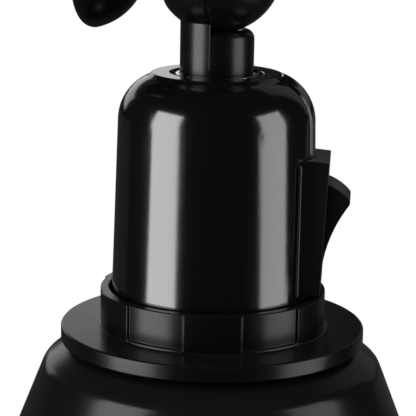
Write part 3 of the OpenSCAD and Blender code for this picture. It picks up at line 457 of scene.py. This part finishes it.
SLOT_FINISH = {
    "black_metal": SATIN_BLACK, "cap_black": CAP_GLOSS, "moulded_black": RING_BLACK,
    "bright_bush": BRIGHT_METAL, "steel": PLATED_STEEL, "brass": BRASS,
    "white_insulator": PORCELAIN, "friction_washer": FIBRE, "lead_cover": LEAD_COVER,
}
NODE_FINISH = {
    "switch_frame": FRAME_BLACK, "switch_rocker": SWITCH_BLACK, "shade": SHADE_BLACK,
}
BODIES = frame["record"]["behaviour"]["bodies"]
BODY_OF = {name: body for body, members in BODIES.items() for name in members}
SLOT_OF = {name: piece.material_slots[0].material.name.split(".")[0] for name, piece in nodes.items()}


def node_finish(name):
    """The finish of a node: its own where it has one, or that of its record slot."""
    return NODE_FINISH.get(name) or SLOT_FINISH[SLOT_OF[name]]


def dress_nodes():
    """Gives each CAD node its finish."""
    for name, piece in nodes.items():
        for place in piece.material_slots:
            place.material = node_finish(name)


dress_nodes()

# Pieces worked out on grids, in millimetres
POLE_DIST = 1e-7


def rounded_section(corners, steps=6):
    """Closed section as arrays r and z: each corner (r, z, radius) becomes an arc tangent to its two
    sides."""
    points = np.array([corner[:2] for corner in corners], float)
    radii = np.array([corner[2] for corner in corners], float)
    before = np.roll(points, 1, axis=0) - points
    after = np.roll(points, -1, axis=0) - points
    before /= np.linalg.norm(before, axis=1, keepdims=True)
    after /= np.linalg.norm(after, axis=1, keepdims=True)
    half = 0.5 * np.arccos(np.clip((before * after).sum(axis=1), -1.0, 1.0))
    middle = before + after
    middle /= np.linalg.norm(middle, axis=1, keepdims=True)
    centre = points + middle * (radii / np.sin(half))[:, None]
    share = np.linspace(-1.0, 1.0, steps)[None, :] * (0.5 * np.pi - half)[:, None]
    cross = before[:, 0] * after[:, 1] - before[:, 1] * after[:, 0]
    side = np.stack([-middle[:, 1], middle[:, 0]], axis=1) * np.sign(cross)[:, None]
    arc = np.sin(share)[:, :, None] * side[:, None, :] - np.cos(share)[:, :, None] * middle[:, None, :]
    line = (centre[:, None, :] + radii[:, None, None] * arc).reshape(-1, 2)
    return line[:, 0], line[:, 1]


def holder_frame(drop=0.0, more_turn=0.0):
    """Origin and axes of the lamp holder at a drop below the top of its cap, turned a little more."""
    turn = np.radians(HOLDER_TURN + more_turn)
    across = [np.cos(turn), np.sin(turn), 0.0]
    back = [-np.sin(turn), np.cos(turn), 0.0]
    return np.array([0.0, -ARM_REACH, HOLDER_TOP - drop]), np.array([across, back, [0.0, 0.0, 1.0]])


def knob_frame():
    """Origin at the ball's centre, local Z along the tilt axis towards the knob."""
    axes = np.array([[0.0, 0.0, 1.0], [0.0, 1.0, 0.0], [-1.0, 0.0, 0.0]])
    return np.array([0.0, -ARM_REACH, BALL_Z]), axes


def grid_mesh(name, points, close_rows=True):
    """Quads between neighbours of a grid (turns, rows, 3), closed round the turns and, if asked, round
    the rows. They are turned over where the volume that they enclose comes out negative."""
    turns, rows = points.shape[:2]
    index = np.arange(turns * rows).reshape(turns, rows)
    beside = np.roll(index, -1, axis=0)
    quads = np.stack([index, beside, np.roll(beside, -1, axis=1), np.roll(index, -1, axis=1)], axis=-1)
    if not close_rows:
        quads = quads[:, :-1]
    quads = quads.reshape(-1, 4)
    flat = points.reshape(-1, 3)
    first, second, third, fourth = (flat[quads[:, k]] for k in range(4))
    volume = (first * np.cross(second, third)).sum() + (first * np.cross(third, fourth)).sum()
    if volume < 0.0:
        quads = quads[:, ::-1]
    mesh = bpy.data.meshes.new(name)
    mesh.from_pydata((flat * MM).tolist(), [], quads.tolist())
    return mesh


def close_poles(mesh):
    """Merges the points that meet on the axis."""
    form = bmesh.new()
    form.from_mesh(mesh)
    bmesh.ops.remove_doubles(form, verts=form.verts, dist=POLE_DIST)
    form.to_mesh(mesh)
    form.free()


def add_detail(name, mesh, beside, finishes=None):
    """Puts a mesh into the scene on a CAD node's body, in that node's finish if no other is given."""
    mesh.materials.clear()
    for material in finishes or [node_finish(beside)]:
        mesh.materials.append(material)
    mesh.shade_smooth()
    piece = bpy.data.objects.new(name, mesh)
    scene.collection.objects.link(piece)
    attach(piece, BODY_OF[beside])
    return piece


def add_piece(name, mesh, stands_for, finishes=None):
    """Puts a mesh into the scene as the piece that stands for one CAD node."""
    piece = add_detail(name, mesh, stands_for, finishes)
    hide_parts(stands_for)
    return piece


def even_shading(piece):
    """Shading normals weighted by face area, so that flats stay flat beside their round edges."""
    weigh = piece.modifiers.new("even_shading", "WEIGHTED_NORMAL")
    weigh.mode = "FACE_AREA"
    weigh.weight = 100
    weigh.keep_sharp = False


def carried_round(radius, z, angle, origin, axes):
    """Grid of points origin + radius cos t * x + radius sin t * y + z * axis, for a column of angles t."""
    height = np.broadcast_to(z, radius.shape)
    local = np.stack([radius * np.cos(angle), radius * np.sin(angle), height], axis=-1)
    return origin + local @ axes


def turned_points(r, z, origin, axes, around=160, ripple=None):
    """Section (r, z) carried round an axis in equal steps, with r changed by ripple(t)."""
    angle = np.linspace(0.0, FULL_TURN, around, endpoint=False)[:, None]
    radius = np.broadcast_to(r, (around, len(r)))
    if ripple is not None:
        radius = radius + ripple(angle)
    return carried_round(radius, z, angle, origin, axes)


def smooth_step(x):
    """0 below 0, 1 above 1, and 3x^2 - 2x^3 between."""
    x = np.clip(x, 0.0, 1.0)
    return x * x * (3.0 - 2.0 * x)


# Shade: a flat top, a sloped ring, a crease, the cone and a rolled rim
FLANGE_DROP = 50.0
RING_BORE_R = 20.3
SHADE_TOP = 53.5
SHADE_H = 130.0
SHADE_ANGLE = np.radians(21.5)
SHADE_WALL = 1.0
SHADE_TOP_R = 25.0
SHADE_SHOULDER_R = 10.0
SHADE_AROUND = 220
BEND_R = 27.9
BEND_ROUND = 8.0
CREASE_Z = -57.3
CREASE_ROUND = 4.0
SHADE_ARC_STEPS = 12
RIM_R = 1.58
RIM_SLACK = 0.02
RIM_STEPS = 28
RIM_WHITE_STEPS = 4
CUT_ROUND = 0.1


def cone_radius(height, inset):
    """Radius at a height of the cone that touches the shoulder's round, set in by part of the wall."""
    across = (SHADE_SHOULDER_R - inset) / np.cos(SHADE_ANGLE)
    return SHADE_TOP_R + across - (SHADE_TOP + SHADE_SHOULDER_R + height) * np.tan(SHADE_ANGLE)


def wall_inside(corner, before, after):
    """Inner corner of the wall: one wall in from two sides that slope by the angles before and after."""
    middle, half = 0.5 * (before + after), 0.5 * (after - before)
    return corner - SHADE_WALL / np.cos(half) * np.array([np.sin(middle), np.cos(middle)])


def shade_section():
    """Closed line of the shade's wall, down the outside, round the rim and back inside, and the row
    where its white begins. Arcs of the first three corners are outside, of the last three inside."""
    rim_z = -FLANGE_DROP - SHADE_H + RIM_R + RIM_SLACK
    bend = np.array([BEND_R, -SHADE_TOP])
    crease = np.array([cone_radius(CREASE_Z, 0.0), CREASE_Z])
    slope = np.arctan2(bend[1] - crease[1], crease[0] - bend[0])
    steep = 0.5 * np.pi - SHADE_ANGLE
    corners = [
        (RING_BORE_R, -SHADE_TOP, CUT_ROUND),
        (*bend, BEND_ROUND),
        (*crease, CREASE_ROUND),
        (cone_radius(rim_z, 0.0), rim_z, CUT_ROUND),
        (cone_radius(rim_z, SHADE_WALL), rim_z, CUT_ROUND),
        (*wall_inside(crease, slope, steep), CREASE_ROUND - SHADE_WALL),
        (*wall_inside(bend, 0.0, slope), BEND_ROUND - SHADE_WALL),
        (RING_BORE_R, -SHADE_TOP - SHADE_WALL, CUT_ROUND)]
    arcs = np.stack(rounded_section(corners, SHADE_ARC_STEPS), axis=-1).reshape(len(corners), -1, 2)
    outer, inner = arcs[:3].reshape(-1, 2), arcs[-3:].reshape(-1, 2)
    start = np.arcsin(0.5 * SHADE_WALL / RIM_R)
    roll = np.linspace(start, FULL_TURN - start, RIM_STEPS)[:, None]
    up = np.array([-np.sin(SHADE_ANGLE), np.cos(SHADE_ANGLE)])
    out = np.array([np.cos(SHADE_ANGLE), np.sin(SHADE_ANGLE)])
    middle = np.array([cone_radius(rim_z, 0.5 * SHADE_WALL), rim_z])
    rim = middle + RIM_R * (np.cos(roll) * up + np.sin(roll) * out)
    line = np.concatenate([outer, rim, inner])
    return line[:, 0], line[:, 1], len(outer) + len(rim) - RIM_WHITE_STEPS


def make_shade():
    """Cone shade turned from its wall section: black outside and over the rim, white inside."""
    r, z, white_from = shade_section()
    mesh = grid_mesh("cone_shade", turned_points(r, z, *holder_frame(), around=SHADE_AROUND))
    row = np.tile(np.arange(len(r)), SHADE_AROUND)
    inside = (row >= white_from) & (row < len(r) - 1)
    piece = add_piece("cone_shade", mesh, "shade", [SHADE_BLACK, SHADE_WHITE])
    mesh.polygons.foreach_set("material_index", inside.astype(np.int32))
    even_shading(piece)


make_shade()

# Ribbed rings: pockets centred every 60 degrees from the switch
COLLAR_R = 22.6
COLLAR_H = 7.4
COLLAR_BORE_R = 20.5
FLANGE_R = 30.0
FLANGE_H = 3.1
BOSS_R = 24.5
BOSS_H = 3.5
SLEEVE_SEAT = 1.9
LOCK_FLANGE_R = 24.5
LOCK_FLANGE_H = 2.0
LOCK_H = 7.0
RIB_COUNT = 6
POCKET_DEPTH = 0.4
POCKET_HALF = 6.1
POCKET_FLOOR = 0.6
POCKET_BLEND = 0.4
POCKET_ROWS = np.linspace(-0.24, 0.24, 9)
RIB_STEPS = 24
RIB_EDGE_DEGREES = np.linspace(-1.3, 1.3, 11)
SAME_RADIUS = 1e-6
COLLAR_SLACK = 0.01


def rib_angles():
    """Angles round a ring, closer together at the edges of the pockets."""
    sector = 360.0 / RIB_COUNT
    edge = np.degrees(np.arcsin(POCKET_HALF / COLLAR_R))
    plain = np.linspace(-0.5 * sector, 0.5 * sector, RIB_STEPS, endpoint=False)
    edges = [edge + RIB_EDGE_DEGREES, -edge + RIB_EDGE_DEGREES]
    one = np.unique(np.round(np.concatenate([plain, *edges]), 4))
    return np.radians((one[None, :] + sector * np.arange(RIB_COUNT)[:, None]).ravel())


def pocket_depth(angle):
    """How far a pocket's floor lies below the ribs: its depth within the pocket, eased to 0 over its
    sides."""
    sector = FULL_TURN / RIB_COUNT
    a = (angle + 0.5 * sector) % sector - 0.5 * sector
    within = POCKET_HALF - np.abs(COLLAR_R * np.sin(a))
    return POCKET_DEPTH * smooth_step(within / POCKET_BLEND + 0.5)


def ribbed_points(r, z, floor_z, top_z, origin, axes):
    """Section (r, z) carried round the axis. From floor_z towards top_z, the collar's outside sinks by
    the pocket depth."""
    angle = rib_angles()[:, None]
    up = (z - floor_z) * np.sign(top_z - floor_z)
    on_collar = (r > 0.5 * (COLLAR_BORE_R + COLLAR_R)) & (r < COLLAR_R + COLLAR_SLACK)
    sunk = smooth_step(up / POCKET_BLEND + 0.5) * on_collar
    return carried_round(r[None, :] - pocket_depth(angle) * sunk[None, :], z, angle, origin, axes)


def with_rows(r, z, where_r, rows):
    """Adds rows to the long straight side of a section that lies at radius where_r."""
    next_r, next_z = np.roll(r, -1), np.roll(z, -1)
    here, there = np.abs(r - where_r) < SAME_RADIUS, np.abs(next_r - where_r) < SAME_RADIUS
    side = np.flatnonzero(here & there)
    place = side[np.argmax(np.abs(next_z[side] - z[side]))]
    extra = rows[np.argsort(rows * np.sign(next_z[place] - z[place]))]
    return np.insert(r, place + 1, np.full(len(extra), where_r)), np.insert(z, place + 1, extra)


def make_shade_ring():
    """Ring with a flange below and a ribbed collar above, every edge rounded."""
    corners = [
        (RING_BORE_R, -BOSS_H, 0.2), (BOSS_R, -BOSS_H, 0.15), (BOSS_R, -FLANGE_H, 0.1),
        (FLANGE_R, -FLANGE_H, 0.35), (FLANGE_R, 0.0, 0.5), (COLLAR_R, 0.0, 0.35),
        (COLLAR_R, COLLAR_H, 0.3), (COLLAR_BORE_R, COLLAR_H, 0.25),
        (COLLAR_BORE_R, SLEEVE_SEAT, 0.05), (RING_BORE_R, SLEEVE_SEAT, 0.05)]
    r, z = with_rows(*rounded_section(corners), COLLAR_R, POCKET_FLOOR + POCKET_ROWS)
    points = ribbed_points(r, z, POCKET_FLOOR, COLLAR_H, *holder_frame(FLANGE_DROP, RING_TURN))
    even_shading(add_piece("ribbed_ring", grid_mesh("ribbed_ring", points), "shade_ring"))


def make_lock_ring():
    """Second ribbed ring, upside down under the shade's top."""
    corners = [
        (RING_BORE_R, 0.0, 0.2), (LOCK_FLANGE_R, 0.0, 0.3), (LOCK_FLANGE_R, -LOCK_FLANGE_H, 0.4),
        (COLLAR_R, -LOCK_FLANGE_H, 0.35), (COLLAR_R, -LOCK_H, 0.4), (RING_BORE_R, -LOCK_H, 0.3)]
    floor_z = -LOCK_FLANGE_H - POCKET_FLOOR
    r, z = with_rows(*rounded_section(corners), COLLAR_R, floor_z + POCKET_ROWS)
    points = ribbed_points(r, z, floor_z, -LOCK_H, *holder_frame(SHADE_TOP + SHADE_WALL, RING_TURN))
    even_shading(add_piece("lock_ring", grid_mesh("lock_ring", points), "shade_lock_ring"))


make_shade_ring()
make_lock_ring()

# Bush: heights below the cap's top
BUSH_BORE_R = 5.1
BUSH_FOOT_R = 10.45
BUSH_R = 8.95
BUSH_RIM_R = 7.95
BUSH_RECESS_R = 7.25
BUSH_FOOT = -5.1
BUSH_SEAT = -2.1
BUSH_FACE = -1.35
BUSH_RIM_TOP = -0.15


def make_bush():
    """Bright bush turned with a thin raised rim round the neck, a recess inside it and round edges."""
    corners = [
        (BUSH_BORE_R, BUSH_FOOT, 0.1), (BUSH_FOOT_R, BUSH_FOOT, 0.3), (BUSH_FOOT_R, BUSH_SEAT, 0.2),
        (BUSH_R, BUSH_SEAT, 0.1), (BUSH_R, BUSH_FACE, 0.15), (BUSH_RIM_R, BUSH_FACE, 0.1),
        (BUSH_RIM_R, BUSH_RIM_TOP, 0.14), (BUSH_RECESS_R, BUSH_RIM_TOP, 0.04),
        (BUSH_RECESS_R, BUSH_FACE, 0.05), (BUSH_BORE_R, BUSH_FACE, 0.1)]
    points = turned_points(*rounded_section(corners), *holder_frame())
    even_shading(add_piece("turned_bush", grid_mesh("turned_bush", points), "cap_bush"))


# Knob: places along the tilt axis from the ball's centre
DOME_R = 12.6
DOME_CENTRE = 26.8
DOME_STEPS = 28
KNOB_FACE = 26.6
KNOB_EDGE_R = 2.5
KNOB_EDGE_STEPS = 16
HUB_R = 5.5
HUB_START = 12.2
HUB_ROUND = 0.3
HUB_ROUND_MIDDLE = 0.09
STUD_HOLE_R = 2.6
STUD_HOLE_DEPTH = 4.0
DISH_R = 6.3
DISH_DEPTH = 0.8
DISH_STEPS = 20
DISH_LIP = np.array([[0.4, 0.0], [0.1, -0.06], [0.0, -0.3]])
DISH_FLOOR_R = DISH_R - 0.15


def make_knob():
    """Hand knob turned from a dome, a rounded outer edge tangent to it, a dished face and a hub."""
    edge_x = KNOB_FACE - KNOB_EDGE_R
    edge_y = np.sqrt((DOME_R - KNOB_EDGE_R) ** 2 - (DOME_CENTRE - edge_x) ** 2)
    stop = np.arctan2(edge_y, DOME_CENTRE - edge_x)
    bow = np.linspace(np.arcsin(HUB_R / DOME_R), stop, DOME_STEPS)
    dome = np.stack([DOME_R * np.sin(bow), DOME_CENTRE - DOME_R * np.cos(bow)], axis=1)
    over = np.linspace(np.pi - stop, 0.0, KNOB_EDGE_STEPS)
    edge = np.stack([edge_y + KNOB_EDGE_R * np.sin(over), edge_x + KNOB_EDGE_R * np.cos(over)], axis=1)
    lip = np.array([DISH_R, KNOB_FACE]) + DISH_LIP
    inwards = np.linspace(DISH_FLOOR_R, 0.0, DISH_STEPS)
    dish = np.stack([inwards, np.full(DISH_STEPS, KNOB_FACE - DISH_DEPTH)], axis=1)
    hub = np.array([
        [0.0, HUB_START + STUD_HOLE_DEPTH], [STUD_HOLE_R, HUB_START + STUD_HOLE_DEPTH],
        [STUD_HOLE_R, HUB_START], [HUB_R - HUB_ROUND, HUB_START],
        [HUB_R - HUB_ROUND_MIDDLE, HUB_START + HUB_ROUND_MIDDLE], [HUB_R, HUB_START + HUB_ROUND]])
    line = np.concatenate([hub, dome, edge, lip, dish])
    points = turned_points(line[:, 0], line[:, 1], *knob_frame())
    mesh = grid_mesh("dome_knob", points, close_rows=False)
    close_poles(mesh)
    even_shading(add_piece("dome_knob", mesh, "tilt_knob"))


# Parting lines of the neck: heights below the ball's centre
NECK_R = 7.15
SEAM_WIDTH = 0.32
SEAM_RISE = 0.11
SEAM_ROOT = 0.2
SEAM_TOP = -9.9
SEAM_BOTTOM = -19.6
SEAM_FADE = 1.5
SEAM_ROWS = 60
SEAM_AROUND = 16
FRONT_AND_BACK = (("front", -1.0), ("back", 1.0))


def make_neck_seam():
    """Parting lines down the neck's front and back, each an oval carried down the neck: out = R - root
    + (root + rise) sin t, with the rise faded towards the ends."""
    z = np.linspace(SEAM_TOP, SEAM_BOTTOM, SEAM_ROWS)[None, :]
    turn = np.linspace(0.0, FULL_TURN, SEAM_AROUND, endpoint=False)[:, None]
    fade = smooth_step((SEAM_TOP - z) / SEAM_FADE) * smooth_step((z - SEAM_BOTTOM) / SEAM_FADE)
    out = NECK_R - SEAM_ROOT + (SEAM_ROOT + SEAM_RISE * fade) * np.sin(turn)
    side = 0.5 * SEAM_WIDTH * np.cos(turn) * np.ones_like(z)
    for end, way in FRONT_AND_BACK:
        name = "neck_seam_" + end
        local = np.stack([side, way * out, np.broadcast_to(z, out.shape)], axis=-1)
        local[:, (0, -1), :2] = [0.0, way * (NECK_R - SEAM_ROOT)]
        mesh = grid_mesh(name, np.array([0.0, -ARM_REACH, BALL_Z]) + local, close_rows=False)
        close_poles(mesh)
        add_detail(name, mesh, "lower_knuckle")


# Beads beside the switch's flat, in the holder's own axes
BEAD_X = 17.0
BEAD_HALF_X = 0.38
BEAD_HALF_Y = 0.42
BEAD_TOP = -15.75
BEAD_LEN = 26.15
BEAD_TOP_Y = 9.55
BEAD_SPREAD = 1.3
BEAD_ROWS = 40
BEAD_AROUND = 20


def make_flat_beads():
    """Raised edges down both sides of the switch's flat: an oval carried along a straight line, closed
    at its ends."""
    down = np.linspace(0.0, 1.0, BEAD_ROWS)[None, :]
    turn = np.linspace(0.0, FULL_TURN, BEAD_AROUND, endpoint=False)[:, None]
    origin, axes = holder_frame()
    middle = BEAD_TOP_Y + BEAD_SPREAD * down
    out = middle + BEAD_HALF_Y * np.sin(turn)
    x = np.broadcast_to(BEAD_X + BEAD_HALF_X * np.cos(turn), out.shape)
    z = np.broadcast_to(BEAD_TOP - BEAD_LEN * down, out.shape)
    for end, way in FRONT_AND_BACK:
        name = "flat_bead_" + end
        local = np.stack([x, way * out, z], axis=-1)
        local[:, 0, :2] = [BEAD_X, way * middle[0, 0]]
        local[:, -1, :2] = [BEAD_X, way * middle[0, -1]]
        mesh = grid_mesh(name, origin + local @ axes, close_rows=False)
        close_poles(mesh)
        add_detail(name, mesh, "switch_frame")


make_bush()
make_knob()
make_neck_seam()
make_flat_beads()

# Threads: heights below the cap's top
SHELL_R = 13.2
SHELL_WALL = 0.32
SHELL_PITCH = 3.63
SHELL_THREAD_DEPTH = 0.24
SHELL_TOP = -53.2
SHELL_BOTTOM = -73.2
SHELL_PLAIN = 1.2
SHELL_BEND_R = 0.9
SHELL_BEND_STEPS = 8
SHELL_HOLE_R = 6.65
SHELL_FADE = 1.5
SHELL_ROWS = 110
SLEEVE_R = 20.2
SLEEVE_TIP_R = 19.7
SLEEVE_TIP_H = 0.5
SLEEVE_NECK_R = 18.0
SLEEVE_BORE_R = 15.8
SLEEVE_MOUTH_R = 14.3
SLEEVE_MOUTH_H = 1.5
SLEEVE_BOTTOM = -76.0
SLEEVE_RIM = -48.0
SLEEVE_TOP = SLEEVE_RIM + 3.6
SLEEVE_THREAD_TOP = -61.0
SLEEVE_RUN_OUT = 0.2
SLEEVE_PITCH = 2.0
SLEEVE_THREAD_DEPTH = 0.55
SLEEVE_GROOVE_SHARE = 0.9
SLEEVE_ROWS = 130


def thread_wave(z, angle, pitch):
    """Rolled thread: cosine of the height less the lead of one pitch for each turn."""
    return np.cos(FULL_TURN * z / pitch - angle)


def make_screw_shell():
    """Bulb shell rolled with its thread: r = shell radius + depth * wave, on both sides of a thin wall,
    and turned in over its top."""
    thread_top = SHELL_TOP - SHELL_PLAIN
    z = np.linspace(SHELL_BOTTOM, thread_top, SHELL_ROWS)
    ends = smooth_step((z - SHELL_BOTTOM) / SHELL_FADE) * smooth_step((thread_top - z) / SHELL_FADE)
    bend = np.linspace(0.0, 0.5 * np.pi, SHELL_BEND_STEPS)
    over_r = np.concatenate([SHELL_R - SHELL_BEND_R + SHELL_BEND_R * np.cos(bend), [SHELL_HOLE_R]])
    over_z = np.concatenate([SHELL_TOP - SHELL_BEND_R + SHELL_BEND_R * np.sin(bend), [SHELL_TOP]])
    outwards = SHELL_WALL * np.concatenate([np.cos(bend), [0.0]])
    inner_r = np.concatenate([np.full(SHELL_ROWS, SHELL_R), over_r])
    inner_z = np.concatenate([z, over_z - SHELL_WALL])
    outer_r = np.concatenate([np.full(SHELL_ROWS, SHELL_R + SHELL_WALL), over_r + outwards])
    outer_z = np.concatenate([z, over_z])
    weight = np.concatenate([ends, np.zeros(len(over_r))])
    r = np.concatenate([outer_r, inner_r[::-1]])
    height = np.concatenate([outer_z, inner_z[::-1]])
    depth = SHELL_THREAD_DEPTH * np.concatenate([weight, weight[::-1]])
    points = turned_points(
        r, height, *holder_frame(),
        ripple=lambda t: depth * thread_wave(height, t, SHELL_PITCH))
    add_piece("threaded_shell", grid_mesh("threaded_shell", points), "screw_shell")


def make_sleeve():
    """Holder sleeve with a cut thread below the rings: r = sleeve radius less the depth of a rounded
    groove."""
    z = np.linspace(SLEEVE_BOTTOM + SLEEVE_TIP_H, SLEEVE_THREAD_TOP, SLEEVE_ROWS)
    cut = smooth_step(z - z[0]) * smooth_step(SLEEVE_THREAD_TOP - z)
    above = np.array([
        [SLEEVE_R, SLEEVE_THREAD_TOP + SLEEVE_RUN_OUT], [SLEEVE_R, SLEEVE_RIM],
        [SLEEVE_NECK_R, SLEEVE_RIM], [SLEEVE_NECK_R, SLEEVE_TOP],
        [SLEEVE_BORE_R, SLEEVE_TOP], [SLEEVE_BORE_R, SLEEVE_BOTTOM + SLEEVE_MOUTH_H],
        [SLEEVE_MOUTH_R, SLEEVE_BOTTOM + SLEEVE_MOUTH_H], [SLEEVE_MOUTH_R, SLEEVE_BOTTOM]])
    r = np.concatenate([[SLEEVE_TIP_R], np.full(SLEEVE_ROWS, SLEEVE_R), above[:, 0]])
    height = np.concatenate([[SLEEVE_BOTTOM], z, above[:, 1]])
    depth = SLEEVE_THREAD_DEPTH * np.concatenate([[0.0], cut, np.zeros(len(above))])

    def groove(t):
        wave = thread_wave(height, t, SLEEVE_PITCH)
        return -depth * smooth_step(SLEEVE_GROOVE_SHARE * (0.5 - 0.5 * wave))

    points = turned_points(r, height, *holder_frame(), ripple=groove)
    even_shading(add_piece("threaded_sleeve", grid_mesh("threaded_sleeve", points), "holder_sleeve"))


make_screw_shell()
make_sleeve()

# Cast and moulded pieces: the node's own form with its edges rounded
FLAT_DIST = 16.6
FLAT_EDGE = 0.9
FLAT_SLACK = 0.05
FLAT_HALF_MIN = 9.0
UPRIGHT_RATIO = 10.0
MERGE_DIST = 2e-6
LEVEL_TURN = np.radians(0.4)
SHARP_TURN = np.radians(32.0)
BEVEL_SEGMENTS = 3
EDGE_WIDTH = {
    "holder_cap": 0.2, "switch_frame": 0.3, "switch_rocker": 0.35, "upper_knuckle": 0.2,
    "lower_knuckle": 0.2, "swivel_base": 0.5, "swivel_turret": 0.5,
}


def beside_flat(mesh):
    """Marks the upright edges where the switch's flat meets the round of the cap."""
    points = np.empty(3 * len(mesh.vertices))
    mesh.vertices.foreach_get("co", points)
    ends = np.empty(2 * len(mesh.edges), int)
    mesh.edges.foreach_get("vertices", ends)
    origin, axes = holder_frame()
    local = (points.reshape(-1, 3) / MM - origin) @ axes.T
    first, second = local[ends[0::2]], local[ends[1::2]]
    middle, run = 0.5 * (first + second), np.abs(second - first)
    upright = run[:, 2] > UPRIGHT_RATIO * np.maximum(run[:, 0], run[:, 1])
    on_flat = np.abs(middle[:, 0] - FLAT_DIST) < FLAT_SLACK
    return upright & on_flat & (np.abs(middle[:, 1]) > FLAT_HALF_MIN)


def softened(name, width):
    """Copy of a node's mesh, merged, its flat faces joined, and its sharp edges rounded by a bevel of
    that width, wider beside the cap's flat."""
    mesh = nodes[name].data.copy()
    form = bmesh.new()
    form.from_mesh(mesh)
    bmesh.ops.remove_doubles(form, verts=form.verts, dist=MERGE_DIST)
    bmesh.ops.dissolve_limit(form, angle_limit=LEVEL_TURN, verts=form.verts, edges=form.edges)
    bend = np.array([edge.calc_face_angle(0.0) for edge in form.edges])
    form.to_mesh(mesh)
    form.free()
    if "custom_normal" in mesh.attributes:
        mesh.attributes.remove(mesh.attributes["custom_normal"])
    mesh.name = name + "_rounded"
    piece = add_piece(name + "_rounded", mesh, name)
    bevel = piece.modifiers.new("round_edges", "BEVEL")
    bevel.width = FLAT_EDGE * MM
    bevel.segments = BEVEL_SEGMENTS
    bevel.limit_method = "WEIGHT"
    share = np.where(bend > SHARP_TURN, width / FLAT_EDGE, 0.0)
    if name == "holder_cap":
        share[beside_flat(mesh) & (share > 0.0)] = 1.0
        bevel.use_clamp_overlap = False
    weight = mesh.attributes.new("bevel_weight_edge", "FLOAT", "EDGE")
    weight.data.foreach_set("value", share)
    even_shading(piece)


for cast_name, cast_width in EDGE_WIDTH.items():
    softened(cast_name, cast_width)
